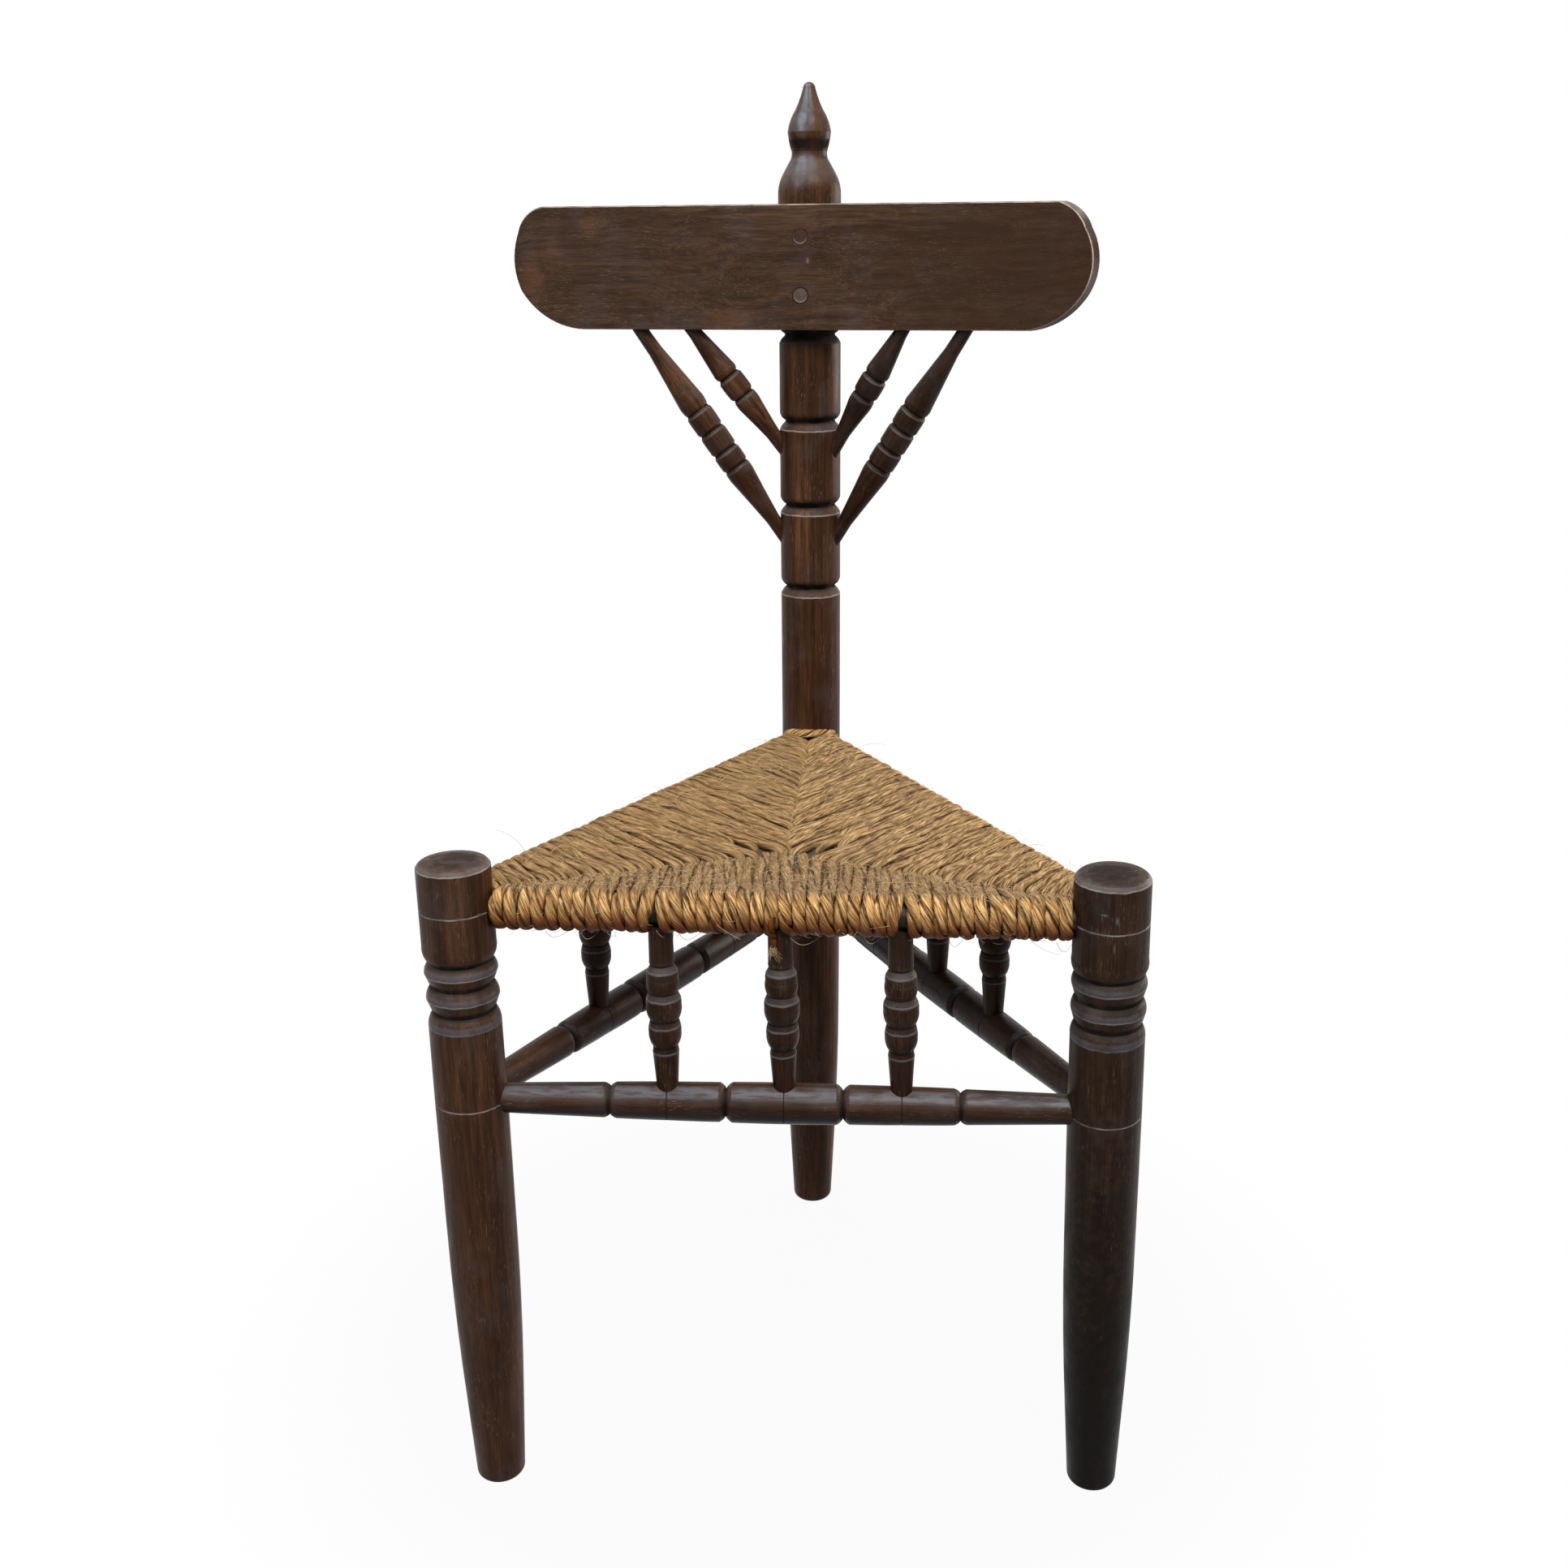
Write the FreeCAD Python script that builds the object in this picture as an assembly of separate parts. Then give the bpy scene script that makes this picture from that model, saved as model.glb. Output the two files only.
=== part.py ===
import FreeCAD, Part
import math
import os

# A three-legged triangular chair of turned wood with a woven cord seat, in millimetres.
# +Z is up, the sitter faces -Y, and +X is the right-hand side seen from the front.
# The origin lies on the floor under the middle of the chair.

# Plan of the legs
leg_spacing = 440.0
seat_depth = 385.0
front_line_y = -190.0
left_foot_shift = (5.3, -10.0)
right_foot_shift = (9.7, 9.4)

# Heights of the joints above the floor, and how much higher they are on the rear post
rail_height = 456.0
stretcher_height = 312.5
rail_rear_rise = 3.0
stretcher_rear_rise = 6.0

# Fits
glue_gap = 0.1
socket_bottom_gap = 0.3
soft_gap = 0.3
shoulder_sink = 1.0

# Front legs, measured up or down from the rails' axis
leg_radius = 25.4
leg_rim_rise = 32.6
leg_dome_rise = 1.9
leg_rim_radius = 22.6
leg_rim_drop = 3.4
leg_drum_drop = 26.0
leg_chamfer_drop = 85.0
leg_disc_radius = 25.2
leg_disc_drops = (64.6, 45.8)
leg_disc_swell = 1.0
leg_groove_drops = (74.8, 55.6, 38.0)
left_groove_radius = 21.5
right_groove_radius = 22.5

# Feet, the same on all three legs
foot_radius = 17.9
foot_edge_height = 4.0
foot_edge_radius = 15.2
foot_wear = 0.7
taper_top_height = 205.0
taper_top_radius = 24.9
taper_knee_height = 98.0
taper_knee_radius = 22.5

# Scribed lines
scribe_width = 1.5
scribe_depth = 0.7

# Rear post; each part of the finial is measured from the part below it
post_radius = 25.3
post_groove_radius = 20.7
post_groove_rise = 143.6
post_groove_pitch = 69.4
post_groove_count = 4
post_groove_upper = 8.5
post_groove_lower = 6.8
post_groove_floor = 1.6
finial_base_rise = 6.4
finial_shoulder_rise = 15.0
finial_shoulder_radius = 22.0
finial_hollow_rise = 12.0
finial_hollow_radius = 15.1
finial_neck_rise = 6.0
finial_neck_radius = 14.2
finial_bulb_rise = 14.5
finial_bulb_radius = 17.3
finial_waist_rise = 16.5
finial_waist_radius = 11.0
finial_nose_rise = 15.5
finial_nose_radius = 5.0
finial_tip_rise = 4.8

# Back board, screwed to a flat on the front of the post
board_rise = 356.9
board_height = 95.7
board_thickness = 20.0
board_twist = 7.6
post_flat_depth = 5.0
left_end = {"tip": 239.1, "belly": 4.4, "top_run": 26.0, "top_drop": 19.4, "top_bow": 4.4,
            "low_run": 61.0, "low_rise": 30.8, "low_bow": 8.8}
right_end = {"tip": 231.8, "belly": 6.6, "top_run": 26.8, "top_drop": 19.3, "top_bow": 3.3,
             "low_run": 50.0, "low_rise": 27.0, "low_bow": 6.0}
bevel_depth = 6.0
bevel_edge = 1.0
bevel_left = 2.0
bevel_right = 5.0

# Fastenings of the board
plug_radius = 5.6
plug_length = 5.0
plug_drops = {"upper": 24.5, "lower": 68.7}
screw_length = 38.0
screw_radius = 2.4
screw_head_radius = 4.6
screw_head_height = 3.0
screw_point = 6.0
screw_slot = 1.0

# Braces from the post to the lower edge of the board; their rings stand at shares of the free length
outer_brace_reach = {"left": 135.5, "right": 130.4}
inner_brace_reach = {"left": 91.4, "right": 80.5}
outer_brace_drop = {"left": 203.1, "right": 205.8}
inner_brace_drop = {"left": 125.7, "right": 131.5}
outer_ring_shares = {"left": (0.42, 0.523, 0.627, 0.712), "right": (0.403, 0.498, 0.600, 0.695)}
inner_ring_shares = {"left": (0.437, 0.624), "right": (0.437, 0.624)}
brace_belly_share = {"outer": 0.365, "inner": 0.38}
brace_neck_share = {"outer": 0.11, "inner": 0.04}
brace_neck_radius = {"outer": 6.1, "inner": 5.7}
brace_belly_radius = {"outer": 11.2, "inner": 9.9}
brace_ring_radius = {"outer": 11.5, "inner": 10.5}
brace_groove_radius = {"outer": 9.8, "inner": 8.2}
brace_ring_bevel = 3.0
brace_ring_round = 4.0
brace_lower_straight = 9.0
brace_top_radius = 5.4
brace_foot_radius = 6.0
brace_tenon_radius = 4.2
brace_tenon_length = 14.0
brace_foot_stop = 14.0
brace_straight_margin = 2.5

# Stretchers: five barrels parted by four grooves, with the radius wherever a barrel starts or ends
stretcher_middle_radius = 14.4
stretcher_inner_radii = (14.1, 13.8)
stretcher_mark_radius = 13.4
stretcher_outer_radii = (12.7, 12.3)
stretcher_end_radius = 10.5
stretcher_groove_radius = 9.6
stretcher_shoulder = 4.5
stretcher_round = 0.5
stretcher_inner_groove = 40.8
stretcher_outer_groove = 122.0
stretcher_tenon_radius = 6.5
stretcher_scribe_depth = 0.4
stretcher_scribe_width = 0.9

# Seat rails
rail_radius = 9.0
rail_tenon_radius = 6.5

# Spindles; their grooves stand at shares of the way from the stretcher's axis up to the rail's
spindle_spacing = 81.3
spindle_foot_radius = 7.6
spindle_foot_depth = 9.0
spindle_taper_bevel = 4.2
spindle_taper_radius = 9.2
spindle_groove_shares = (0.305, 0.444, 0.586, 0.728)
spindle_groove_radii = (8.5, 9.9, 9.9, 8.0)
spindle_bead_radii = (11.3, 12.2, 10.9)
spindle_bead_bevel = 4.6
spindle_bead_round = 5.0
spindle_neck_radius = 8.6
spindle_tenon_radius = 4.5
spindle_tenon_length = 7.0
spindle_top_gap = 0.4

# Woven seat and its stuffing
seat_roll_radius = 15.3
seat_top_drop = 1.0
seat_bottom_rise = 2.0
pad_thickness = 9.0
pad_mitre_gap = 8.0


def vec(x, y, z):
    return FreeCAD.Vector(x, y, z)


class Turning:
    """Outline of a turned piece as radius and distance along its axis, drawn from its lower end upwards."""

    def __init__(self, radius, along):
        self.start = vec(0, 0, along)
        self.at = vec(radius, 0, along)
        self.edges = [Part.makeLine(self.start, self.at)]

    def line(self, radius, along):
        end = vec(radius, 0, along)
        self.edges.append(Part.makeLine(self.at, end))
        self.at = end
        return self

    def bow(self, radius, along, rise):
        """An arc to the next point that bulges outwards by rise, or inwards where rise is negative."""
        end = vec(radius, 0, along)
        chord = end - self.at
        outward = vec(chord.z, 0, -chord.x).normalize()
        middle = (self.at + end) * 0.5 + outward * rise
        self.edges.append(Part.Arc(self.at, middle, end).toShape())
        self.at = end
        return self

    def cap(self, along):
        """A round end, centred on the axis."""
        radius = self.at.x
        height = along - self.at.z
        sphere = (radius ** 2 + height ** 2) / (2 * height)
        middle_radius = radius / 2
        middle = vec(middle_radius, 0, along - sphere + math.sqrt(sphere ** 2 - middle_radius ** 2))
        end = vec(0, 0, along)
        self.edges.append(Part.Arc(self.at, middle, end).toShape())
        self.at = end
        return self

    def groove(self, radius, bottom_radius, along, half_width):
        """A V cut centred on one place, from the surface and back to it."""
        return (self.line(radius, along - half_width)
                .line(bottom_radius, along)
                .line(radius, along + half_width))

    def solid(self):
        edges = list(self.edges)
        top = vec(0, 0, self.at.z)
        if self.at.x > 0:
            edges.append(Part.makeLine(self.at, top))
        edges.append(Part.makeLine(top, self.start))
        return Part.Face(Part.Wire(edges)).revolve(vec(0, 0, 0), vec(0, 0, 1), 360)


def placed(shape, start, end):
    """The shape moved so that its own axis runs from start towards end."""
    moved = shape.copy()
    moved.Placement = FreeCAD.Placement(start, FreeCAD.Rotation(vec(0, 0, 1), end - start))
    return moved


def rod(start, end, radius, low, high):
    """A cylinder on the line from start to end, between two distances from start."""
    direction = (end - start).normalize()
    return Part.makeCylinder(radius, high - low, start + direction * low, direction)


def between(start, end, share):
    return start + (end - start) * share


# Axes of the three legs
board_bottom = rail_height + board_rise
board_top = board_bottom + board_height
leg_tops = {
    "left": vec(-leg_spacing / 2, front_line_y, rail_height),
    "right": vec(leg_spacing / 2, front_line_y, rail_height),
    "post": vec(0, front_line_y + seat_depth, rail_height),
}
foot_shifts = {"left": left_foot_shift, "right": right_foot_shift, "post": (0.0, 0.0)}
corner_half_angle = math.atan2(leg_spacing / 2, seat_depth)


def axis_point(leg, height):
    """Where a leg's axis passes a height: under its top it leans towards its shifted foot."""
    top = leg_tops[leg]
    shift_x, shift_y = foot_shifts[leg]
    share = 1 - height / rail_height
    return vec(top.x + shift_x * share, top.y + shift_y * share, height)


def joint_point(leg, height, rear_rise):
    """Where a rail or a stretcher meets a leg's axis."""
    return axis_point(leg, height + (rear_rise if leg == "post" else 0))


def standing(shape, leg):
    return placed(shape, axis_point(leg, 0), axis_point(leg, rail_height))


# Legs and post
def add_foot(outline, top_radius, scribe_height):
    """The tapering foot, then the straight shaft up to the scribed line at the stretchers."""
    outline.bow(foot_radius, foot_edge_height, 0.8)
    outline.line(taper_knee_radius, taper_knee_height)
    outline.bow(taper_top_radius, taper_top_height, 0.5)
    outline.line(top_radius, scribe_height - scribe_width / 2)
    outline.line(top_radius - scribe_depth, scribe_height)
    outline.line(top_radius, scribe_height + scribe_width / 2)
    return outline


def front_leg(groove_radius):
    outline = Turning(foot_edge_radius, -foot_wear)
    add_foot(outline, leg_radius, stretcher_height)
    outline.line(leg_disc_radius, rail_height - leg_chamfer_drop)
    for groove_drop, disc_drop in zip(leg_groove_drops, leg_disc_drops):
        outline.bow(groove_radius, rail_height - groove_drop, leg_disc_swell)
        outline.line(leg_disc_radius, rail_height - disc_drop)
    outline.bow(groove_radius, rail_height - leg_groove_drops[-1], leg_disc_swell)
    outline.bow(leg_radius, rail_height - leg_drum_drop, 1.5)
    outline.groove(leg_radius, leg_radius - scribe_depth, rail_height, scribe_width / 2)
    rim_height = rail_height + leg_rim_rise
    outline.line(leg_radius, rim_height - leg_rim_drop)
    outline.bow(leg_rim_radius, rim_height, 0.4)
    outline.cap(rim_height + leg_dome_rise)
    return outline.solid()


def rear_post():
    outline = Turning(foot_edge_radius, -foot_wear)
    add_foot(outline, post_radius, stretcher_height + stretcher_rear_rise)
    for index in range(post_groove_count):
        height = rail_height + post_groove_rise + index * post_groove_pitch
        outline.line(post_radius, height - post_groove_lower)
        outline.bow(post_groove_radius, height - post_groove_floor / 2, 0.5)
        outline.line(post_groove_radius, height + post_groove_floor / 2)
        outline.bow(post_radius, height + post_groove_upper, 1.4)
    height = board_top + finial_base_rise
    outline.line(post_radius, height)
    parts = ((finial_shoulder_rise, finial_shoulder_radius, 0.95),
             (finial_hollow_rise, finial_hollow_radius, 0.1),
             (finial_neck_rise, finial_neck_radius, -0.45),
             (finial_bulb_rise, finial_bulb_radius, 0.35),
             (finial_waist_rise, finial_waist_radius, 1.0),
             (finial_nose_rise, finial_nose_radius, -0.45))
    for rise, radius, swell in parts:
        height += rise
        outline.bow(radius, height, swell)
    outline.cap(height + finial_tip_rise)
    return outline.solid()


# Members that run from one leg to the next
def shoulder_distance(host_radius, end_radius):
    """How far from a leg's axis a member's full body stops, sunk a little below the leg's surface."""
    return math.sqrt(host_radius ** 2 - end_radius ** 2) - shoulder_sink


def tenon_distance(tenon_radius):
    """Two tenons that meet in a leg stop just short of each other."""
    return (tenon_radius + 2 * glue_gap) / math.sin(corner_half_angle) + socket_bottom_gap


def add_end(outline, end_radius, tenon_radius):
    """The tenon and the first straight stretch of a member, from inside the leg to its surface."""
    outline.line(tenon_radius, shoulder_distance(leg_radius, end_radius))
    outline.line(end_radius, shoulder_distance(leg_radius, end_radius))
    outline.line(end_radius, leg_radius)
    return outline


def finish_end(outline, end_radius, tenon_radius, length):
    outline.line(end_radius, length - leg_radius)
    outline.line(end_radius, length - shoulder_distance(leg_radius, end_radius))
    outline.line(tenon_radius, length - shoulder_distance(leg_radius, end_radius))
    outline.line(tenon_radius, length - tenon_distance(tenon_radius))
    return outline.solid()


def end_sockets(start, end, end_radius, tenon_radius):
    """The two-step socket that a member's end needs in the leg at start."""
    shoulder = shoulder_distance(leg_radius, end_radius)
    bottom = tenon_distance(tenon_radius) - socket_bottom_gap
    return [rod(start, end, end_radius + glue_gap, shoulder - glue_gap, leg_radius + 5),
            rod(start, end, tenon_radius + glue_gap, bottom, shoulder)]


def stretcher(length):
    """Barrels swell a little towards the middle of the stretcher and round over into each groove."""
    middle = length / 2
    outline = Turning(stretcher_tenon_radius, tenon_distance(stretcher_tenon_radius))
    add_end(outline, stretcher_end_radius, stretcher_tenon_radius)
    near, far = stretcher_inner_groove, stretcher_outer_groove
    inner, outer = stretcher_inner_radii, stretcher_outer_radii
    cuts = ((-far, outer[1], outer[0]), (-near, inner[1], inner[0]), (near, inner[0], inner[1]), (far, *outer))
    marks = (None, -spindle_spacing, 0.0, spindle_spacing)
    for (cut, radius_before, radius_after), mark in zip(cuts, marks):
        if mark is not None:
            radius = stretcher_mark_radius if mark else stretcher_middle_radius
            add_scribe(outline, radius, middle + mark)
        outline.bow(radius_before, middle + cut - stretcher_shoulder, 0.1)
        outline.bow(stretcher_groove_radius, middle + cut, stretcher_round)
        outline.bow(radius_after, middle + cut + stretcher_shoulder, stretcher_round)
    return finish_end(outline, stretcher_end_radius, stretcher_tenon_radius, length)


def add_scribe(outline, radius, along):
    """The fine line that marks the middle of a spindle's hole."""
    outline.bow(radius, along - stretcher_scribe_width / 2, 0.1)
    outline.line(radius - stretcher_scribe_depth, along)
    outline.line(radius, along + stretcher_scribe_width / 2)


def seat_rail(length):
    outline = Turning(rail_tenon_radius, tenon_distance(rail_tenon_radius))
    add_end(outline, rail_radius, rail_tenon_radius)
    return finish_end(outline, rail_radius, rail_tenon_radius, length)


def spindle(length):
    """A short turning with three beads, a foot for the stretcher's hole and a tenon for the rail's."""
    outline = Turning(spindle_foot_radius, stretcher_mark_radius - spindle_foot_depth)
    outline.line(spindle_foot_radius, stretcher_middle_radius)
    heights = [share * length for share in spindle_groove_shares]
    outline.line(spindle_taper_radius, heights[0] - spindle_taper_bevel)
    outline.line(spindle_groove_radii[0], heights[0])
    for bead_radius, groove_radius, height in zip(spindle_bead_radii, spindle_groove_radii[1:], heights[1:]):
        bevel_height = height - spindle_bead_bevel
        outline.bow(bead_radius, bevel_height - spindle_bead_round, 0.9)
        outline.bow(bead_radius - 0.3, bevel_height, 0.2)
        outline.line(groove_radius, height)
    outline.bow(spindle_neck_radius, heights[-1] + 3, 0.4)
    shoulder = length - rail_radius - spindle_top_gap
    outline.line(spindle_neck_radius - 0.4, shoulder)
    outline.line(spindle_tenon_radius, shoulder)
    outline.line(spindle_tenon_radius, shoulder + spindle_tenon_length)
    return outline.solid()


# Back board, in the frame of the twisted post: along it, out of its front and up
twist = math.radians(board_twist)
board_along = vec(math.cos(twist), -math.sin(twist), 0)
board_out = vec(-math.sin(twist), -math.cos(twist), 0)
board_back = post_radius - post_flat_depth
board_front = board_back + glue_gap + board_thickness
board_middle = board_front - board_thickness / 2


def board_point(along, out, height):
    foot = leg_tops["post"]
    return vec(foot.x, foot.y, height) + board_along * along + board_out * out


def arc_edge(start, end, centre, rise):
    """An arc from start to end that bulges by rise away from a centre point."""
    middle = (start + end) * 0.5
    normal = (end - start).cross(board_out).normalize()
    if normal.dot(middle - centre) < 0:
        normal = normal * -1
    return Part.Arc(start, middle + normal * rise, end).toShape()


def board_wire(out, edge_inset, left_inset, right_inset):
    """The board's outline at one depth, drawn in from its full size by the bevel."""
    top = board_top - edge_inset
    bottom = board_bottom + edge_inset
    centre = board_point(0, out, (top + bottom) / 2)
    ends = []
    for side, end, inset in ((1, right_end, right_inset), (-1, left_end, left_inset)):
        tip = end["tip"] - inset
        flank = side * (tip - end["belly"])
        ends.append([board_point(side * (tip - end["top_run"]), out, top),
                     board_point(flank, out, top - end["top_drop"]),
                     board_point(flank, out, bottom + end["low_rise"]),
                     board_point(side * (tip - end["low_run"]), out, bottom)])
    right, left = ends
    edges = [Part.makeLine(left[0], right[0])]
    for points, end in ((right, right_end), (left, left_end)):
        corner = arc_edge(points[0], points[1], centre, end["top_bow"])
        belly = arc_edge(points[1], points[2], centre, end["belly"])
        lower = arc_edge(points[2], points[3], centre, end["low_bow"])
        edges += [corner, belly, lower]
    edges.append(Part.makeLine(right[3], left[3]))
    return Part.Wire(Part.__sortEdges__(edges))


def back_board():
    """A plain slab whose front arris is bevelled, most of all at the right-hand end."""
    full = board_wire(board_back + glue_gap, 0, 0, 0)
    slab = Part.Face(full).extrude(board_out * (board_thickness - bevel_depth))
    rear = board_wire(board_front - bevel_depth, 0, 0, 0)
    front = board_wire(board_front, bevel_edge, bevel_left, bevel_right)
    return slab.fuse(Part.makeLoft([rear, front], True, True)).removeSplitter()


def post_flat():
    """The notch on the post's front that seats the board."""
    corner = board_point(-post_radius * 2, board_back, board_bottom - glue_gap)
    box = Part.makeBox(post_radius * 4, post_radius * 2, board_top - board_bottom + 2 * glue_gap)
    box.Placement = FreeCAD.Placement(corner, FreeCAD.Rotation(vec(0, 0, 1), -board_twist))
    return box.translated(board_out * (post_radius * 2))


def screw():
    """Flat head first, then the shank and its point, along the way it is driven in."""
    outline = Turning(screw_head_radius, 0)
    outline.line(screw_head_radius, screw_head_height / 3)
    outline.line(screw_radius, screw_head_height)
    outline.line(screw_radius, screw_length - screw_point)
    outline.line(0.4, screw_length)
    slot = Part.makeBox(2 * screw_head_radius, screw_slot, screw_slot)
    slot.translate(vec(-screw_head_radius, -screw_slot / 2, 0))
    return outline.solid().cut(slot)


def fastening(height):
    """One plug and screw, with the holes that they need in the board and in the post."""
    face = board_point(0, board_front, height)
    inside = board_point(0, 0, height)
    plug = rod(face, inside, plug_radius, 0, plug_length)
    driven = placed(screw(), face + (inside - face).normalize() * (plug_length + glue_gap), inside)
    plug_hole = rod(face, inside, plug_radius + glue_gap, -1, plug_length + glue_gap)
    head_end = plug_length + screw_head_height + 2 * glue_gap
    head_hole = rod(face, inside, screw_head_radius + glue_gap, 0, head_end)
    reach = plug_length + screw_length + socket_bottom_gap
    shank_hole = rod(face, inside, screw_radius + glue_gap, 0, reach)
    return plug, driven, [plug_hole, head_hole, shank_hole]


# Braces, measured down from the lower edge of the board
def collar(outline, start, end, size):
    """One collar of a brace: a short bevel, then a barrel that rounds over into the next groove."""
    outline.line(brace_ring_radius[size], start + brace_ring_bevel)
    outline.bow(brace_ring_radius[size], end - brace_ring_round, 0.15)
    outline.bow(brace_groove_radius[size], end, 0.7)


def brace_outline(size, ring_shares, free_length, end):
    """A taper that swells to a belly, one or more collars, and the taper that fills its hole in the post."""
    belly = brace_belly_share[size] * free_length
    rings = [share * free_length for share in ring_shares]
    outline = Turning(brace_top_radius, -2 * brace_top_radius)
    outline.line(brace_neck_radius[size], brace_neck_share[size] * free_length)
    outline.line(brace_belly_radius[size], belly)
    outline.bow(brace_belly_radius[size], (belly + rings[0]) / 2, 0.2)
    outline.bow(brace_groove_radius[size], rings[0], 0.4)
    for start, stop in zip(rings, rings[1:]):
        collar(outline, start, stop, size)
    outline.bow(brace_belly_radius[size], rings[-1] + brace_ring_round, 0.5)
    outline.bow(brace_belly_radius[size], rings[-1] + brace_lower_straight, 0.1)
    outline.bow(brace_foot_radius, free_length, -0.15)
    outline.line(brace_foot_radius, end)
    return outline.solid()


def brace(side, size, reach, foot_drop, ring_shares):
    """A finished brace, the hole that it needs in the board and the one that it needs in the post."""
    sign = -1 if side == "left" else 1
    top = board_point(sign * reach[side], board_middle, board_bottom)
    foot = board_point(0, 0, board_bottom - foot_drop[side])
    length = (foot - top).Length
    drop = (top.z - foot.z) / length
    slant = math.sqrt(1 - drop ** 2)
    in_post = (post_radius + brace_foot_radius * drop) / slant
    end = length - brace_foot_stop
    free_length = length - in_post - brace_straight_margin
    body = placed(brace_outline(size, ring_shares[side], free_length, end), top, foot)
    wide = 8 * brace_top_radius
    above = Part.makeBox(wide, wide, wide)
    above.translate(vec(top.x - wide / 2, top.y - wide / 2, board_bottom - glue_gap))
    tenon = rod(top, foot, brace_tenon_radius, -brace_tenon_length, brace_top_radius)
    finished = body.cut(above).fuse(tenon).removeSplitter()
    bottom = -brace_tenon_length - socket_bottom_gap
    board_hole = rod(top, foot, brace_tenon_radius + glue_gap, bottom, 2 * brace_top_radius)
    post_hole = rod(top, foot, brace_foot_radius + glue_gap, length / 2, end + socket_bottom_gap)
    return finished, board_hole, post_hole


# Woven seat
sides = {"front": ("left", "right"), "left": ("left", "post"), "right": ("right", "post")}


def side_ends(side, height, rear_rise):
    """The two points that a side's rail or stretcher runs between."""
    return [joint_point(leg, height, rear_rise) for leg in sides[side]]


def rail_ends(side):
    return side_ends(side, rail_height, rail_rear_rise)


def rail_corners():
    return [joint_point(leg, rail_height, rail_rear_rise) for leg in leg_tops]


def seat_normal():
    corners = rail_corners()
    return (corners[1] - corners[0]).cross(corners[2] - corners[0]).normalize()


def prism(corners, low, high):
    """A flat triangular plate between two heights over the plane of the rails."""
    normal = seat_normal()
    raised = [corner + normal * low for corner in corners]
    return Part.Face(Part.makePolygon(raised + raised[:1])).extrude(normal * (high - low))


def inset_triangle(corners, distances):
    """The corners moved in, so that each edge lies its own distance inside the old one."""
    normal = seat_normal()
    lines = []
    for index, distance in enumerate(distances):
        start = corners[index]
        direction = (corners[(index + 1) % 3] - start).normalize()
        lines.append((start + normal.cross(direction) * distance, direction))
    moved = []
    for index in range(3):
        point, direction = lines[index]
        other, crossing = lines[index - 1]
        across = normal.cross(crossing)
        moved.append(point + direction * ((other - point).dot(across) / direction.dot(across)))
    return moved


def pad(side, growth):
    """Stuffing under one panel, from its rail to the mitres; growth turns it into its pocket."""
    start, end = rail_ends(side)
    if side == "left":
        start, end = end, start
    corners = rail_corners()
    centre = (corners[0] + corners[1] + corners[2]) * (1 / 3)
    distances = (rail_radius + 2 * soft_gap - growth, pad_mitre_gap - growth, pad_mitre_gap - growth)
    half = pad_thickness / 2 + growth
    return prism(inset_triangle([start, end, centre], distances), -half, half)


def woven_seat(hard_pieces):
    """Flat panels between three rolled edges, clear of everything that stands inside or beside them."""
    corners = rail_corners()
    seat = prism(corners, seat_bottom_rise - seat_roll_radius, seat_roll_radius - seat_top_drop)
    for side in sides:
        start, end = rail_ends(side)
        seat = seat.fuse(rod(start, end, seat_roll_radius, 0, (end - start).Length))
    for piece in hard_pieces:
        seat = seat.cut(piece)
    return seat.removeSplitter()


# Build every piece
nodes = {}
holes = {"front_left_leg": [], "front_right_leg": [], "rear_post": [post_flat()], "back_board": []}
leg_nodes = {"left": "front_left_leg", "right": "front_right_leg", "post": "rear_post"}
seat_cuts = []

for side in sides:
    ends = side_ends(side, stretcher_height, stretcher_rear_rise)
    tops = rail_ends(side)
    span = (ends[1] - ends[0]).Length
    rail_span = (tops[1] - tops[0]).Length
    bar = placed(stretcher(span), ends[0], ends[1])
    rail = placed(seat_rail(rail_span), tops[0], tops[1])
    for index, leg in enumerate(sides[side]):
        holes[leg_nodes[leg]] += end_sockets(ends[index], ends[1 - index], stretcher_end_radius,
                                             stretcher_tenon_radius)
        holes[leg_nodes[leg]] += end_sockets(tops[index], tops[1 - index], rail_radius, rail_tenon_radius)
    seat_cuts.append(rod(tops[0], tops[1], rail_radius + soft_gap, 0, rail_span))
    for number, offset in enumerate((-spindle_spacing, 0.0, spindle_spacing), start=1):
        low = between(ends[0], ends[1], 0.5 + offset / span)
        high = between(tops[0], tops[1], 0.5 + offset / span)
        height = (high - low).Length
        nodes["spindle_%s_%d" % (side, number)] = placed(spindle(height), low, high)
        floor = stretcher_mark_radius - spindle_foot_depth - socket_bottom_gap
        mouth = 2 * stretcher_middle_radius
        bar = bar.cut(rod(low, high, spindle_foot_radius + glue_gap, floor, mouth))
        shoulder = height - rail_radius - spindle_top_gap
        rail_hole = rod(low, high, spindle_tenon_radius + glue_gap, shoulder - 1,
                        shoulder + spindle_tenon_length + socket_bottom_gap)
        rail = rail.cut(rail_hole)
        below = shoulder - 2 * seat_roll_radius
        seat_cuts.append(rod(low, high, spindle_neck_radius + soft_gap, below, shoulder + soft_gap))
        seat_cuts.append(rail_hole)
    nodes["stretcher_" + side] = bar
    nodes["seat_rail_" + side] = rail
    nodes["stuffing_" + side] = pad(side, 0)
    seat_cuts.append(pad(side, soft_gap))

for place, drop in plug_drops.items():
    plug, driven, fastening_holes = fastening(board_top - drop)
    nodes["plug_" + place] = plug
    nodes["screw_" + place] = driven
    holes["back_board"] += fastening_holes
    holes["rear_post"].append(fastening_holes[-1])

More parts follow.
